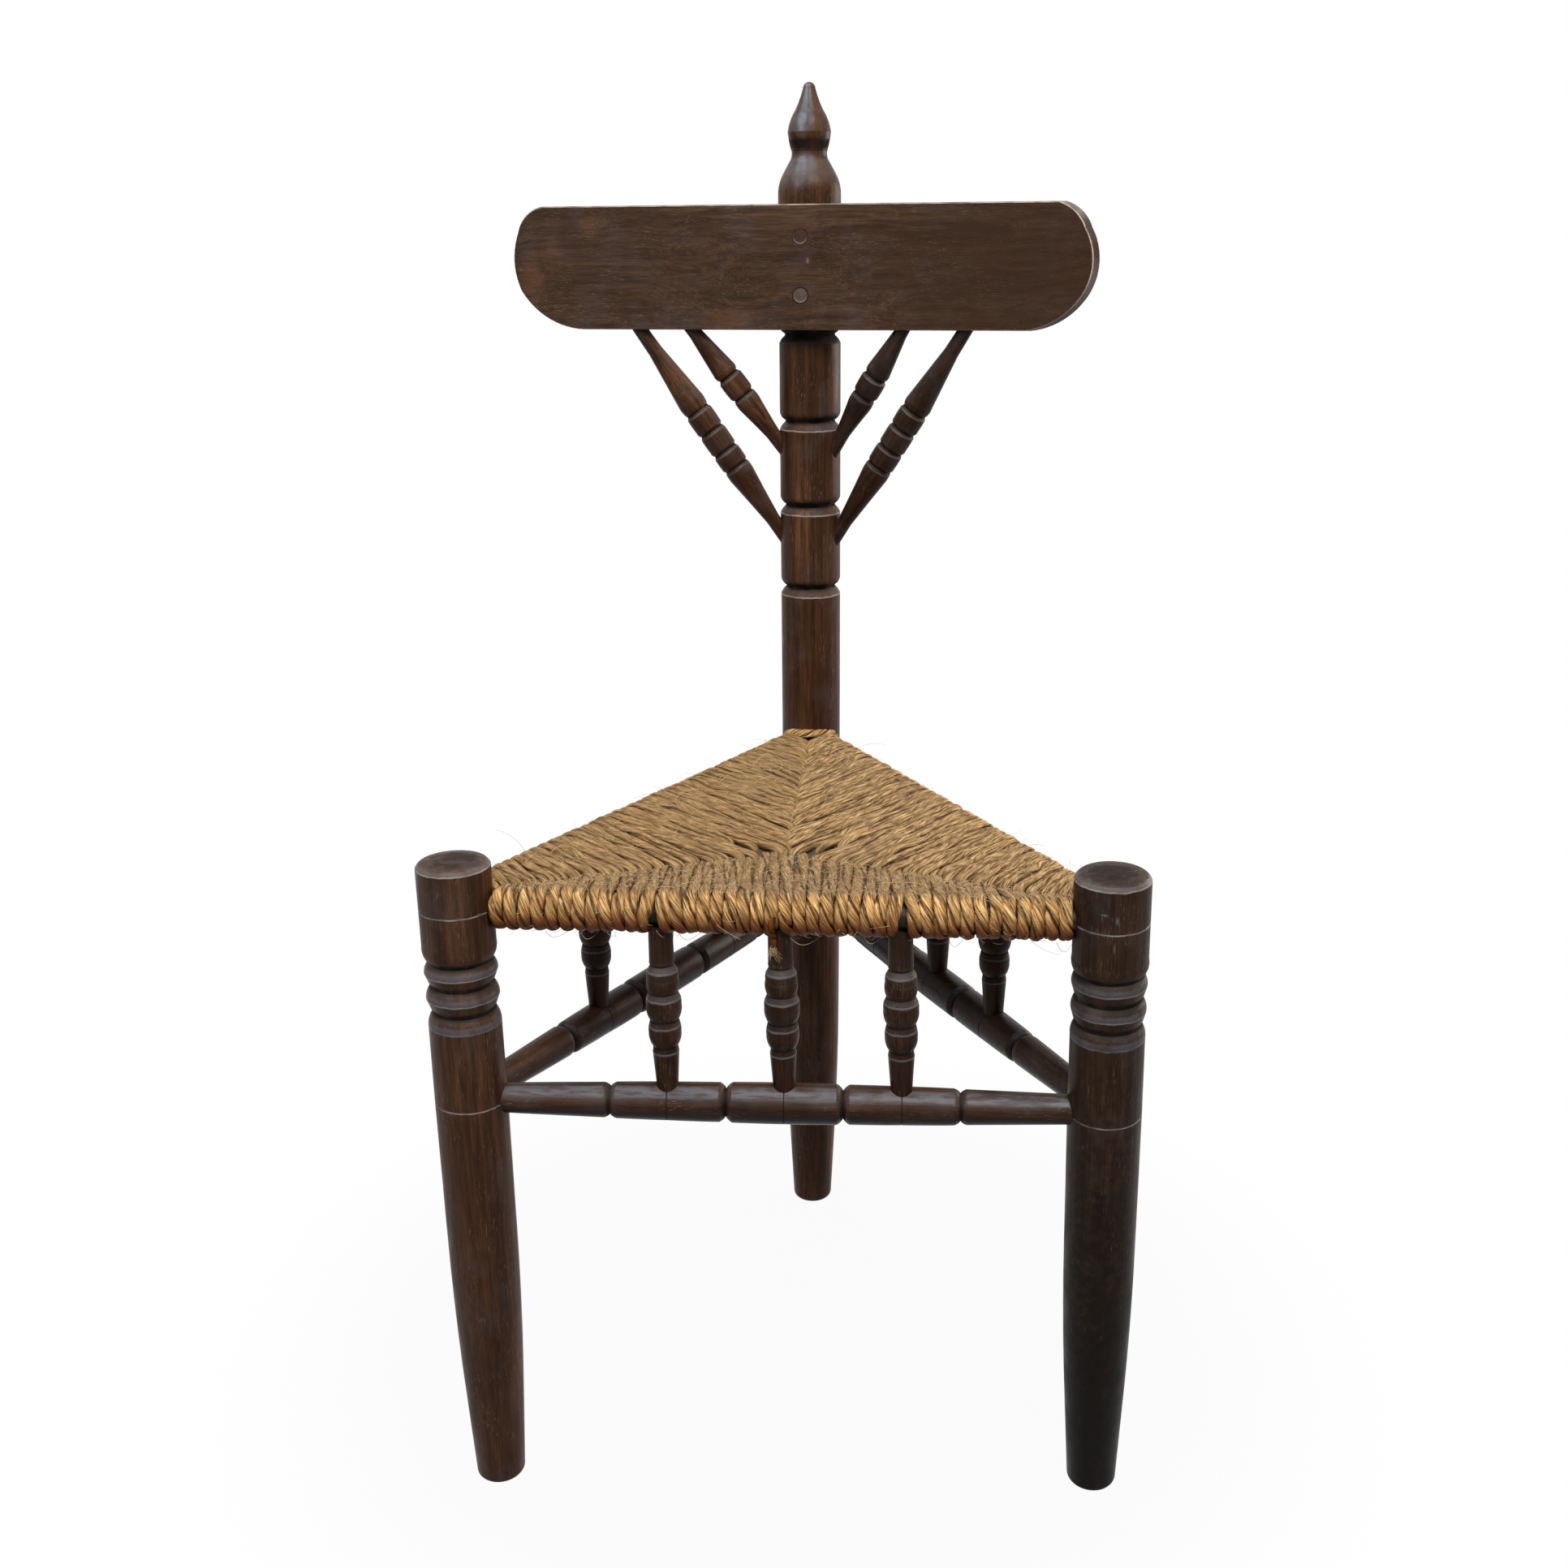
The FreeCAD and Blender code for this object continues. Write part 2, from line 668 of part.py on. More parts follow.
brace_sizes = {
    "outer": (outer_brace_reach, outer_brace_drop, outer_ring_shares),
    "inner": (inner_brace_reach, inner_brace_drop, inner_ring_shares),
}
for size, values in brace_sizes.items():
    for side in ("left", "right"):
        finished, board_hole, post_hole = brace(side, size, *values)
        nodes["brace_%s_%s" % (size, side)] = finished
        holes["back_board"].append(board_hole)
        holes["rear_post"].append(post_hole)

floor_block = Part.makeBox(3 * leg_spacing, 3 * leg_spacing, 50)
floor_block.translate(vec(-1.5 * leg_spacing, -1.5 * leg_spacing, -50))
turned_legs = {"front_left_leg": standing(front_leg(left_groove_radius), "left"),
               "front_right_leg": standing(front_leg(right_groove_radius), "right"),
               "rear_post": standing(rear_post(), "post")}
for name, body in turned_legs.items():
    nodes[name] = body.cut(floor_block).cut(Part.makeCompound(holes[name]))
nodes["back_board"] = back_board().cut(Part.makeCompound(holes["back_board"]))

for leg in leg_tops:
    below = rail_height - 3 * seat_roll_radius
    above = rail_height + 3 * seat_roll_radius
    foot, top = axis_point(leg, 0), axis_point(leg, rail_height)
    seat_cuts.append(rod(foot, top, leg_radius + soft_gap, below, above))
nodes["woven_seat"] = woven_seat(seat_cuts)

os.makedirs("parts", exist_ok=True)
for name, shape in nodes.items():
    solids = shape.Solids
    whole = solids[0] if len(solids) == 1 else Part.makeCompound(solids)
    whole.exportStep("parts/%s.step" % name)
    box = whole.BoundBox
    print("%-20s solids %d valid %s volume %.0f z %.1f to %.1f"
          % (name, len(solids), whole.isValid(), whole.Volume, box.ZMin, box.ZMax))
box = Part.makeCompound(list(nodes.values())).optimalBoundingBox()
print("whole x %.1f to %.1f, y %.1f to %.1f, z %.1f to %.1f"
      % (box.XMin, box.XMax, box.YMin, box.YMax, box.ZMin, box.ZMax))
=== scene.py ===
import math
import bpy
import numpy as np
from mathutils import Matrix, Vector


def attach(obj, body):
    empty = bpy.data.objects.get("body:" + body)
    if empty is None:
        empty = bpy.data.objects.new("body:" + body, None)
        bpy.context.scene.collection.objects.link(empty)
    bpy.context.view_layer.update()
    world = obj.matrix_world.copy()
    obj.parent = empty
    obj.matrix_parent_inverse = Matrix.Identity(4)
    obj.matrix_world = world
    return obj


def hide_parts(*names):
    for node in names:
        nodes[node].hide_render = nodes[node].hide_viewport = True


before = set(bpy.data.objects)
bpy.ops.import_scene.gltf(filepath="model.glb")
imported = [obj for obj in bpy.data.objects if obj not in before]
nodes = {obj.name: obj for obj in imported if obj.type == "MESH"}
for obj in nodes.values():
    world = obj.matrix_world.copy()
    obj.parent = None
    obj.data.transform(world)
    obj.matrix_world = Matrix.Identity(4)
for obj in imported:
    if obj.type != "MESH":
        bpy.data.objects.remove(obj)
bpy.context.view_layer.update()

# A triangular chair of dark turned wood with a woven cord seat. Lengths are in metres.
rng = np.random.default_rng(7)
scene = bpy.context.scene


def arr(*values):
    return np.array(values, dtype=float)


def unit(v):
    return v / np.linalg.norm(v)


def new_object(name, data):
    item = bpy.data.objects.new(name, data)
    scene.collection.objects.link(item)
    return item


# Axes of the chair. Rails and stretchers meet the post a little higher than they meet the front legs.
RAIL_Z, STRETCHER_Z, BOARD_Z, POST_Y = 0.456, 0.3125, 0.8129, 0.195
RAIL_RISE, STRETCHER_RISE = 0.003, 0.006
LEG_TOPS = {"left": arr(-0.22, -0.19, RAIL_Z), "right": arr(0.22, -0.19, RAIL_Z),
            "post": arr(0, POST_Y, RAIL_Z)}
FOOT_SHIFTS = {"left": (0.0053, -0.010), "right": (0.0097, 0.0094), "post": (0, 0)}
SIDES = {"front": ("left", "right"), "left": ("left", "post"), "right": ("right", "post")}
BOARD_TWIST = math.radians(7.6)
board_along = arr(math.cos(BOARD_TWIST), -math.sin(BOARD_TWIST), 0)
board_out = arr(-math.sin(BOARD_TWIST), -math.cos(BOARD_TWIST), 0)


def axis_point(leg, z):
    share = 1 - z / RAIL_Z
    top, shift = LEG_TOPS[leg], FOOT_SHIFTS[leg]
    return arr(top[0] + shift[0] * share, top[1] + shift[1] * share, z)


def joint(leg, z, rise):
    return axis_point(leg, z + (rise if leg == "post" else 0))


# Camera at the photograph's place
CAMERA_AT, LENS, SENSOR = (0.07981, -1.22194, 0.89216), 38.4, 36
yaw, pitch, roll = math.radians(-4.21), math.radians(18.45), math.radians(0.49)
ahead = arr(math.sin(yaw) * math.cos(pitch), math.cos(yaw) * math.cos(pitch), -math.sin(pitch))
sideways = arr(math.cos(yaw), -math.sin(yaw), 0)
below = np.cross(ahead, sideways)
cam_x = sideways * math.cos(roll) + below * math.sin(roll)
cam_y = sideways * math.sin(roll) - below * math.cos(roll)
camera = new_object("camera", bpy.data.cameras.new("camera"))
camera.data.lens, camera.data.sensor_width = LENS, SENSOR
camera.matrix_world = Matrix([[cam_x[i], cam_y[i], -ahead[i], CAMERA_AT[i]] for i in range(3)]
                             + [[0, 0, 0, 1]])
scene.camera = camera


class Shader:
    """Makes the nodes of a material, or of the world."""

    def __init__(self, owner, output="OutputMaterial"):
        owner.use_nodes = True
        self.owner, self.tree = owner, owner.node_tree
        self.tree.nodes.clear()
        self.output = self.node(output)

    def set(self, socket, value):
        if isinstance(value, bpy.types.NodeSocket):
            self.tree.links.new(value, socket)
        elif isinstance(value, (tuple, list)) and len(value) == 3 and socket.type == "RGBA":
            socket.default_value = (*value, 1)
        else:
            socket.default_value = value

    def node(self, kind, inputs=None, **props):
        new = self.tree.nodes.new("ShaderNode" + kind)
        for key, value in props.items():
            setattr(new, key, value)
        for key, value in (inputs or {}).items():
            self.set(new.inputs[key], value)
        return new

    def place(self):
        return self.node("TexCoord").outputs["Object"]

    def facing(self):
        return self.node("TexCoord").outputs["Normal"]

    def math(self, operation, *values):
        return self.node("Math", dict(enumerate(values)), operation=operation).outputs[0]

    def times(self, a, b):
        return self.math("MULTIPLY", a, b)

    def minus(self, a, b):
        return self.math("SUBTRACT", a, b)

    def vector(self, operation, a, b=(0, 0, 0)):
        new = self.node("VectorMath", {0: a, 1: b}, operation=operation)
        return new.outputs["Value" if operation in ("DOT_PRODUCT", "LENGTH") else "Vector"]

    def dot(self, a, axis):
        return self.vector("DOT_PRODUCT", a, tuple(axis))

    def split(self, vector):
        return self.node("SeparateXYZ", {0: vector}).outputs

    def join(self, x, y, z=0.0):
        return self.node("CombineXYZ", {0: x, 1: y, 2: z}).outputs[0]

    def span(self, value, low, high, to_low=0.0, to_high=1.0):
        """Goes smoothly from to_low to to_high as value goes from low to high, or down to high."""
        return self.node("MapRange", {"Value": value, "From Min": low, "From Max": high, "To Min": to_low,
                                      "To Max": to_high}, interpolation_type="SMOOTHSTEP").outputs[0]

    def mix(self, factor, a, b):
        new = self.node("Mix", data_type="RGBA")
        self.set(new.inputs["Factor"], factor)
        self.set(new.inputs[6], a)
        self.set(new.inputs[7], b)
        return new.outputs[2]

    def noise(self, vector, scale, detail, rough=0.55):
        return self.node("TexNoise", {"Vector": vector, "Scale": scale, "Detail": detail,
                                      "Roughness": rough}).outputs[0]

    def bump(self, height, strength, distance):
        return self.node("Bump", {"Height": height, "Strength": strength, "Distance": distance}).outputs[0]

    def finish(self, **inputs):
        new = self.node("BsdfPrincipled")
        for key, value in inputs.items():
            self.set(new.inputs[key.replace("_", " ")], value)
        self.set(self.output.inputs[0], new.outputs[0])
        return self.owner


# Wood
DARK, MID, LIGHT = (0.021, 0.0083, 0.0037), (0.062, 0.0252, 0.0103), (0.118, 0.05, 0.021)
# Beside dust, dents, chips, flecks and patina: a painted sheen, painted shade for grooves and joints, a
# blacker painted shadow, and pale dust that goes with a painted sheen on slopes
DUST, PAINTED_SHEEN, PAINTED_SHADE = (0.30, 0.26, 0.22), (0.105, 0.098, 0.10), (0.008, 0.006, 0.005)
PAINTED_SHADOW, DENT, CHIP = (0.003, 0.002, 0.0015), (0.2, 0.185, 0.17), (0.16, 0.14, 0.125)
FLECK, PATINA, DUST_AND_SHEEN = (0.19, 0.13, 0.09), (0.085, 0.08, 0.085), (0.17, 0.152, 0.145)
SHADED_BELOW = 0.011  # a ring with less red than this is painted shade, which also takes the shine


def shade(factor, colour, hue=(1, 1, 1)):
    return tuple(factor * c * h for c, h in zip(colour, hue))


def stain(factors, hue=(1, 1, 1)):
    """The chair's three tones of wood, each by its own factor."""
    return [shade(factor, colour, hue) for factor, colour in zip(factors, (DARK, MID, LIGHT))]


def wood(name, start, end, tones, seed, rings=(), spots=(), rough=0.36, dust_and_sheen=0.3, figure=0.0, finish=None,
         polish=None, gloss=0.07):
    """Stained wood in three tones, from dark to light, whose grain runs from start to end.

    A ring is (place along it, half width, colour, strength) and a spot is (centre, reach across, deep and
    along, colour, strength). One more number says how much pale dust, with a painted sheen, lies on what
    faces up, and figure how far the grain wanders.
    """
    dark, mid, light = tones
    sh = Shader(bpy.data.materials.new(name))
    along = unit(end - start)
    across = unit(np.cross(along, arr(0.13, 0.97, 0.21)))
    other = np.cross(along, across)
    point = sh.vector("SUBTRACT", sh.place(), tuple(start))
    u, v, w = (sh.dot(point, axis) for axis in (across, other, along))
    if figure:
        wander = sh.noise(sh.vector("MULTIPLY", point, (9, 9, 16)), 1, 1)
        v = sh.math("ADD", v, sh.times(wander, figure))

    def stretched(side_scale, long_scale, shift):
        return sh.join(sh.times(u, side_scale), sh.times(v, side_scale),
                       sh.math("MULTIPLY_ADD", w, long_scale, seed + shift))

    # The grain, from broad bands to pores
    broad = sh.noise(stretched(30, 5, 0), 1, 3)
    streak = sh.noise(stretched(190, 9, 3), 1, 5, 0.6)
    fine = sh.noise(stretched(1100, 40, 7), 1, 3, 0.6)
    pore = sh.noise(stretched(1600, 150, 11), 1, 2, 0.5)
    colour = sh.mix(sh.span(streak, 0.3, 0.74), dark, mid)
    colour = sh.mix(sh.times(sh.span(broad, 0.5, 0.75), sh.span(streak, 0.35, 0.7)), colour, light)
    colour = sh.mix(sh.span(fine, 0.35, 0.7, 0, 0.62), colour, shade(0.45, dark))
    patches = sh.span(sh.noise(stretched(60, 30, 17), 1, 4), 0.42, 0.62)
    flecks = sh.times(sh.span(pore, 0.6, 0.7), patches)
    colour = sh.mix(sh.times(flecks, 0.5), colour, FLECK)
    cloud = sh.noise(point, 34, 3)
    colour = sh.mix(sh.span(cloud, 0.45, 0.75, 0, 0.175), colour, PATINA)

    # Rings, which run slightly uneven round the piece
    wobble = sh.times(sh.minus(sh.noise(point, 160, 2), 0.5), 0.0016)
    place = sh.math("ADD", w, wobble)
    shaded_mask = 0.0
    for centre, half, tint, strength in rings:
        gap = sh.math("ABSOLUTE", sh.minus(place, centre))
        broken = sh.span(sh.noise(point, 90, 2), 0.25, 0.6, strength * 0.45, strength)
        amount = sh.times(sh.span(gap, half, half * 0.35), broken)
        colour = sh.mix(amount, colour, tint)
        if tint[0] < SHADED_BELOW:
            shaded_mask = sh.math("MAXIMUM", amount, shaded_mask)
    for centre, size, tint, strength in spots:
        offset = sh.vector("SUBTRACT", point, tuple(arr(*centre) - start))
        parts = [sh.math("DIVIDE", sh.dot(offset, axis), extent)
                 for axis, extent in zip((across, other, along), size)]
        ragged = sh.times(sh.minus(sh.noise(point, 150, 4), 0.5), 1.3)
        far = sh.math("ADD", sh.vector("LENGTH", sh.join(*parts)), ragged)
        colour = sh.mix(sh.span(far, 1.15, 0.1, 0, strength), colour, tint)
    if finish:
        colour = finish(sh, colour)

    # Pale dust and a painted sheen on slopes that face up, fading where the surface is level
    upward = sh.split(sh.facing())[2]
    dust_and_sheen_mask = sh.times(sh.span(upward, 0.12, 0.55, 0, dust_and_sheen), sh.span(upward, 0.72, 0.98, 1.0, 0.15))
    dust_and_sheen_mask = sh.times(dust_and_sheen_mask, sh.span(cloud, 0.3, 0.6, 0.55, 1.0))
    colour = sh.mix(dust_and_sheen_mask, colour, DUST_AND_SHEEN)
    height = sh.math("ADD", sh.times(fine, 0.6), sh.times(streak, 0.5))
    height = sh.minus(height, sh.times(flecks, 0.35))
    texture = sh.math("ADD", cloud, sh.times(fine, 0.35))
    roughness = sh.span(texture, 0.4, 0.95, rough - 0.06, rough + 0.16)
    if polish:
        roughness = polish(sh, roughness)
    if rings:
        roughness = sh.math("MAXIMUM", roughness, sh.times(shaded_mask, 0.95))
    return sh.finish(Base_Color=colour, Roughness=roughness, Normal=sh.bump(height, 0.32, 0.0009),
                     Specular_IOR_Level=gloss)


def dress(node, material):
    mesh = nodes[node].data
    if mesh.materials:
        for index in range(len(mesh.materials)):
            mesh.materials[index] = material
    else:
        mesh.materials.append(material)


# Front legs: scribe lines, a painted sheen at the lowest disc and on the discs' upper faces, painted
# highlight lines on their edges, painted shade between the discs and on the top's dome, and the top's worn
# edge
DISC_FACES, DISC_EDGES, DISC_GROOVES = (0.3937, 0.4125, 0.3734), (0.3915, 0.4103), (0.3824, 0.4016, 0.4192)
LOWEST_DISC, TOP_EDGE, TOP_BEVEL, TOP_DOME = 0.3712, 0.4857, 0.4869, 0.4906
leg_rings = [(RAIL_Z, 0.0009, DUST, 0.6), (STRETCHER_Z, 0.0009, DUST, 0.6), (LOWEST_DISC, 0.0009, PAINTED_SHEEN, 0.9),
             (TOP_BEVEL, 0.0023, (0.125, 0.108, 0.1), 0.5), (TOP_EDGE, 0.0007, DUST, 0.6),
             (TOP_DOME, 0.0019, (0.01, 0.007, 0.006), 0.75)]
leg_rings += [(z, 0.0036, (0.1, 0.1, 0.112), 0.55) for z in DISC_FACES]
leg_rings += [(z, 0.0008, (0.2, 0.18, 0.17), 0.85) for z in DISC_EDGES]
leg_rings += [(z, 0.0042, PAINTED_SHADE, 0.95) for z in DISC_GROOVES]

# The right leg's dark lower half, chips in it, and dents in the drum above
right_leg_spots = [((0.23, -0.18, 0.06), (0.2, 0.2, 0.3), (0.005, 0.0035, 0.0025), 0.98),
                   ((0.244, -0.214, 0.175), (0.006, 0.006, 0.006), CHIP, 0.55),
                   ((0.239, -0.21, 0.13), (0.004, 0.004, 0.008), CHIP, 0.6),
                   ((0.21, -0.214, 0.128), (0.007, 0.004, 0.002), (0.14, 0.12, 0.11), 0.5),
                   ((0.2118, -0.2143, 0.469), (0.0034, 0.003, 0.0009), DENT, 0.45),
                   ((0.2203, -0.2154, 0.4655), (0.0014, 0.003, 0.0035), DENT, 0.45),
                   ((0.2195, -0.2153, 0.4465), (0.0009, 0.003, 0.005), (0.18, 0.16, 0.14), 0.35)]
for leg, tone, hue, seed, spots, gloss in (("left", 1.26, (1, 1, 1), 1.7, (), 0.08),
                                           ("right", 0.8, (1, 1.22, 1.45), 23.1, right_leg_spots, 0.06)):
    dress("front_%s_leg" % leg, wood("leg_wood_" + leg, axis_point(leg, 0), axis_point(leg, RAIL_Z),
                                     stain([tone] * 3, hue), seed, leg_rings, spots, dust_and_sheen=0.16, gloss=gloss))

# Rear post: painted shadow in the grooves under dusty edges, a band of it behind the board, and painted shade
# at the finial's neck and cap
POST_GROOVES, BOARD_GROOVE, FINIAL_NECK, FINIAL_CAP = (0.5996, 0.669, 0.7384), 0.8085, 0.9535, 0.9862
POLISH_FROM, FINIAL_FOOT, FINIAL_BODY = 0.915, 0.918, 0.93
post_rings = [(z - 0.0069, 0.0008, DUST, 0.75) for z in POST_GROOVES]
post_rings += [(z + 0.0017, 0.0047, PAINTED_SHADOW, 0.98) for z in POST_GROOVES]
post_rings += [(BOARD_GROOVE, 0.011, PAINTED_SHADOW, 0.98), (FINIAL_NECK, 0.006, PAINTED_SHADE, 0.95),
               (FINIAL_CAP, 0.0008, PAINTED_SHADE, 0.7), (RAIL_Z, 0.0011, DUST, 0.5)]


def finial_wear_and_painted_light(sh, colour):
    """The finial's worn finish: warm brown, with painted shade where it faces away from up and left, and a
    painted bluish sheen and glint where it faces up and left.
    """
    brown, shadow = (0.11, 0.052, 0.02), (0.012, 0.007, 0.004)
    painted_highlight, glint = (0.085, 0.095, 0.115), (0.24, 0.26, 0.3)
    z = sh.split(sh.place())[2]
    on_finial = sh.span(z, FINIAL_FOOT, FINIAL_BODY)
    worn = sh.times(on_finial, sh.span(sh.noise(sh.place(), 55, 3), 0.35, 0.65, 0.3, 1.0))
    worn = sh.times(worn, sh.span(sh.math("ABSOLUTE", sh.minus(z, FINIAL_NECK)), 0.002, 0.009))
    colour = sh.mix(sh.times(worn, 0.5), colour, brown)
    aim = sh.dot(sh.facing(), unit(arr(-0.3, -0.85, 0.42)))
    colour = sh.mix(sh.times(sh.span(aim, 0.62, 0.2, 0, 0.75), on_finial), colour, shadow)
    colour = sh.mix(sh.times(sh.span(aim, 0.72, 0.95, 0, 0.7), worn), colour, painted_highlight)
    return sh.mix(sh.times(sh.span(aim, 0.955, 0.99, 0, 0.4), worn), colour, glint)


def polished_finial(sh, roughness):
    """Hands have polished the finial."""
    return sh.times(roughness, sh.span(sh.split(sh.place())[2], POLISH_FROM, FINIAL_BODY, 1.0, 0.75))


dress("rear_post", wood("post_wood", axis_point("post", 0), axis_point("post", RAIL_Z),
                        stain((1.3, 1.28, 1.25)), 41.3, post_rings, rough=0.32, dust_and_sheen=0.12,
                        finish=finial_wear_and_painted_light, polish=polished_finial))

# Back board: BOARD_FACE is how far its front lies before the post's axis, and the plugs lie above BOARD_Z
BOARD_FACE, BOARD_HALF, BOARD_GRAIN_Z = 0.04, 0.24, 0.86
PLUG_RISES, PLUG_RIM = {"upper": 0.0712, "lower": 0.027}, 0.0061
ORANGE, RUST = (0.16, 0.07, 0.035), (0.14, 0.052, 0.034)


def on_board(along, z):
    return tuple(arr(0, POST_Y, z) + board_along * along + board_out * BOARD_FACE)


board_spots = [(on_board(-0.205, 0.872), (0.02, 0.02, 0.012), ORANGE, 0.2),
               (on_board(-0.222, 0.852), (0.024, 0.02, 0.014), ORANGE, 0.3),
               (on_board(-0.172, 0.892), (0.014, 0.02, 0.01), ORANGE, 0.25),
               (on_board(-0.06, 0.822), (0.013, 0.02, 0.03), ORANGE, 0.25),
               (on_board(-0.02, 0.9), (0.02, 0.02, 0.045), RUST, 0.1),
               (on_board(0.006, 0.866), (0.003, 0.02, 0.0015), (0.3, 0.13, 0.1), 0.6),
               (on_board(0.18, 0.86), (0.2, 0.2, 0.17), (0.03, 0.0145, 0.0075), 0.7)]


def arris_wear_and_plug_shade(sh, colour):
    """Painted shade in rims round the plugs, a worn bevel and a pale line along the front arris."""
    bevel_tint, crest_tint, line_tint = (0.17, 0.15, 0.14), (0.3, 0.24, 0.19), (0.5, 0.4, 0.31)
    local = sh.vector("SUBTRACT", sh.place(), (0, POST_Y, BOARD_Z))
    out, across, up = (sh.dot(local, axis) for axis in (board_out, board_along, (0, 0, 1)))
    for name, rise in PLUG_RISES.items():
        off = sh.join(across, sh.minus(up, rise))
        rim = sh.math("ABSOLUTE", sh.minus(sh.vector("LENGTH", off), PLUG_RIM))
        colour = sh.mix(sh.span(rim, 0.0009, 0.0003, 0, 0.85 if name == "lower" else 0.5), colour, PAINTED_SHADE)
    turned = sh.span(sh.dot(sh.facing(), board_out), 0.985, 0.95)
    wear = sh.noise(sh.place(), 75, 3)
    fore = sh.times(turned, sh.span(out, 0.0335, 0.0355))
    colour = sh.mix(sh.times(fore, sh.times(sh.span(up, 0.062, 0.03), 0.75)), colour, bevel_tint)
    crest = sh.times(fore, sh.span(up, 0.08, 0.094))
    colour = sh.mix(sh.times(crest, sh.span(wear, 0.35, 0.6, 0.2, 0.8)), colour, crest_tint)
    line = sh.times(sh.times(turned, sh.span(out, 0.0388, 0.0398)), sh.span(across, -0.05, 0.2, 0.45, 1.0))
    return sh.mix(sh.times(line, sh.span(wear, 0.3, 0.55, 0.15, 0.95)), colour, line_tint)


def plug_rim_highlight(centre):
    """A painted highlight: a pale crescent along the lower edge of the plug at centre."""
    def finish(sh, colour):
        off = sh.vector("SUBTRACT", sh.place(), tuple(centre + arr(0, 0, 0.0014)))
        return sh.mix(sh.span(sh.vector("LENGTH", off), 0.0052, 0.0064, 0, 0.6), colour, (0.22, 0.17, 0.145))
    return finish


left_tip = arr(0, POST_Y, BOARD_GRAIN_Z) - board_along * BOARD_HALF
board_tones = ((0.035, 0.0172, 0.0095), (0.075, 0.0405, 0.0232), (0.108, 0.0605, 0.035))
dress("back_board", wood("board_wood", left_tip, left_tip + board_along, board_tones, 5.1, (), board_spots,
                         rough=0.45, figure=0.05, finish=arris_wear_and_plug_shade))
for name, rise in PLUG_RISES.items():
    start = arr(*on_board(0, BOARD_Z + rise))
    tone = (0.07, 0.032, 0.022) if name == "upper" else (0.125, 0.085, 0.068)
    plug_tones = (shade(0.6, tone), tone, shade(1.3, tone))
    dress("plug_" + name, wood("plug_wood_" + name, start, start - board_out, plug_tones, 9.0 + rise,
                               finish=plug_rim_highlight(start)))

# Braces: reach along the board, drop from BOARD_Z to the post, and the places of the grooves below the belly
BRACES = {"outer": ({"left": 0.1355, "right": 0.1304}, {"left": 0.2031, "right": 0.2058},
                    {"left": (0.42, 0.523, 0.627, 0.712), "right": (0.403, 0.498, 0.600, 0.695)}),
          "inner": ({"left": 0.0914, "right": 0.0805}, {"left": 0.1257, "right": 0.1315},
                    {"left": (0.437, 0.624), "right": (0.437, 0.624)})}
BRACE_OUT, POST_RADIUS, BRACE_FOOT_RADIUS, BRACE_MARGIN = 0.0304, 0.0253, 0.006, 0.0025
for size, (reach, drop, shares) in BRACES.items():
    for side, sign, tone in (("left", -1, 1.1), ("right", 1, 0.66)):
        top = arr(0, POST_Y, BOARD_Z) + board_along * sign * reach[side] + board_out * BRACE_OUT
        foot = arr(0, POST_Y, BOARD_Z - drop[side])
        length = np.linalg.norm(foot - top)
        slope = (top[2] - foot[2]) / length
        in_post = (POST_RADIUS + BRACE_FOOT_RADIUS * slope) / math.sqrt(1 - slope ** 2)
        free = length - in_post - BRACE_MARGIN
        rings = []
        for share in shares[side]:
            # A painted warm sheen at each groove's edge on the foot's side, and painted shade in the groove
            rings += [(share * free + 0.0027, 0.0011, (0.095, 0.08, 0.072), 0.6),
                      (share * free, 0.0016, PAINTED_SHADE, 0.95)]
        dress("brace_%s_%s" % (size, side), wood("brace_wood_%s_%s" % (size, side), top, foot,
                                                 stain((tone, tone, tone * 1.15)), 60 + sign + free, rings,
                                                 dust_and_sheen=0.12))


def painted_stretcher_light(sh, colour):
    """A painted bluish sheen along the top of a stretcher, broken by the grain, and painted shade on its
    underside.
    """
    facing = sh.facing()
    broken = sh.noise(sh.vector("MULTIPLY", sh.place(), (60, 60, 600)), 1, 3)
    colour = sh.mix(sh.span(sh.dot(facing, (0, 0, 1)), 0.15, -0.5, 0, 0.92), colour, PAINTED_SHADE)
    painted_highlight = sh.span(sh.dot(facing, unit(arr(0, -0.55, 0.83))), 0.88, 0.99, 0, 0.6)
    painted_highlight = sh.times(painted_highlight, sh.span(broken, 0.35, 0.6, 0.3, 1.0))
    return sh.mix(painted_highlight, colour, (0.15, 0.155, 0.175))


